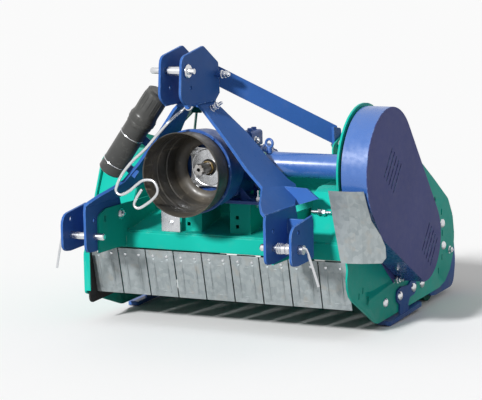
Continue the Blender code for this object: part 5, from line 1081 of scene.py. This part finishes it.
# Shaft hook: one round bar, bright zinc, that hangs by its eye on a peg of the strap, runs down beside
# the shield and bends into the loop that holds the tractor's drive shaft when it is off.
def smooth_line(points, steps=5):
    """Points on a curve that runs through all the given ones."""
    line = []
    for k in range(len(points) - 1):
        a, b, c, d = points[max(k - 1, 0)], points[k], points[k + 1], points[min(k + 2, len(points) - 1)]
        for s in range(steps):
            t = s / steps
            line.append(0.5 * (2 * b + (c - a) * t + (2 * a - 5 * b + 4 * c - d) * t * t
                               + (3 * b - a - 3 * c + d) * t ** 3))
    return line + [points[-1]]


def bent_rod(points, radius, sides=14):
    """A round bar along a line of places, with rounded ends."""
    bm = bmesh.new()
    rings, before = [], None
    ends = len(points) - 1
    for k, place in enumerate(points):
        way = (points[min(k + 1, ends)] - points[max(k - 1, 0)]).normalized()
        side = way.orthogonal() if before is None else before - way * before.dot(way)
        before = side = side.normalized()
        other = way.cross(side)
        thin = 0.75 if k in (0, ends) else 1.0
        turns = [math.tau * s / sides for s in range(sides)]
        rings.append([bm.verts.new(place + (side * math.cos(a) + other * math.sin(a)) * radius * thin)
                      for a in turns])
    for a, b in zip(rings, rings[1:]):
        for s in range(sides):
            bm.faces.new((a[s - 1], a[s], b[s], b[s - 1]))
    bm.faces.new(rings[0])
    bm.faces.new(rings[-1][::-1])
    bmesh.ops.recalc_face_normals(bm, faces=bm.faces)
    return bm


HOOK_EYE = Vector((0.010, -0.136, 0.7190))
HOOK_EYE_R, HOOK_BAR_R = 0.0115, 0.0046
HOOK_LEG = [
    # across, along, height: down the leg, round the low bend, over the shield's front and back
    (-0.014, -0.139, 0.702), (-0.0225, -0.158, 0.69), (-0.029, -0.187, 0.676), (-0.0422, -0.191, 0.6617),
    (-0.0736, -0.193, 0.6293), (-0.1085, -0.197, 0.5907), (-0.1515, -0.2, 0.5534), (-0.187, -0.203, 0.511),
    (-0.2034, -0.205, 0.476), (-0.205, -0.205, 0.4618), (-0.1955, -0.205, 0.4532), (-0.1795, -0.205, 0.455),
    (-0.156, -0.205, 0.4682), (-0.1361, -0.205, 0.484), (-0.1165, -0.205, 0.4975), (-0.0965, -0.205, 0.502),
    (-0.0769, -0.205, 0.4982), (-0.0652, -0.205, 0.481), (-0.0652, -0.205, 0.463), (-0.081, -0.205, 0.4446),
    (-0.1065, -0.205, 0.4261), (-0.1265, -0.205, 0.4155), (-0.1401, -0.205, 0.4169), (-0.1445, -0.205, 0.427),
    (-0.136, -0.205, 0.4459), (-0.1165, -0.205, 0.473)]
eye_turns = [math.radians(175 - 41 * s) for s in range(9)]
eye = [HOOK_EYE + HOOK_EYE_R * Vector((math.cos(a), 0, math.sin(a))) for a in eye_turns]
bar = smooth_line([spot(*p) for p in eye + HOOK_LEG])
fitted(meshed("shaft_hook_skin", bent_rod(bar, HOOK_BAR_R)), ZINC, "shaft_hook", 60, 0.0, "shaft_hook")
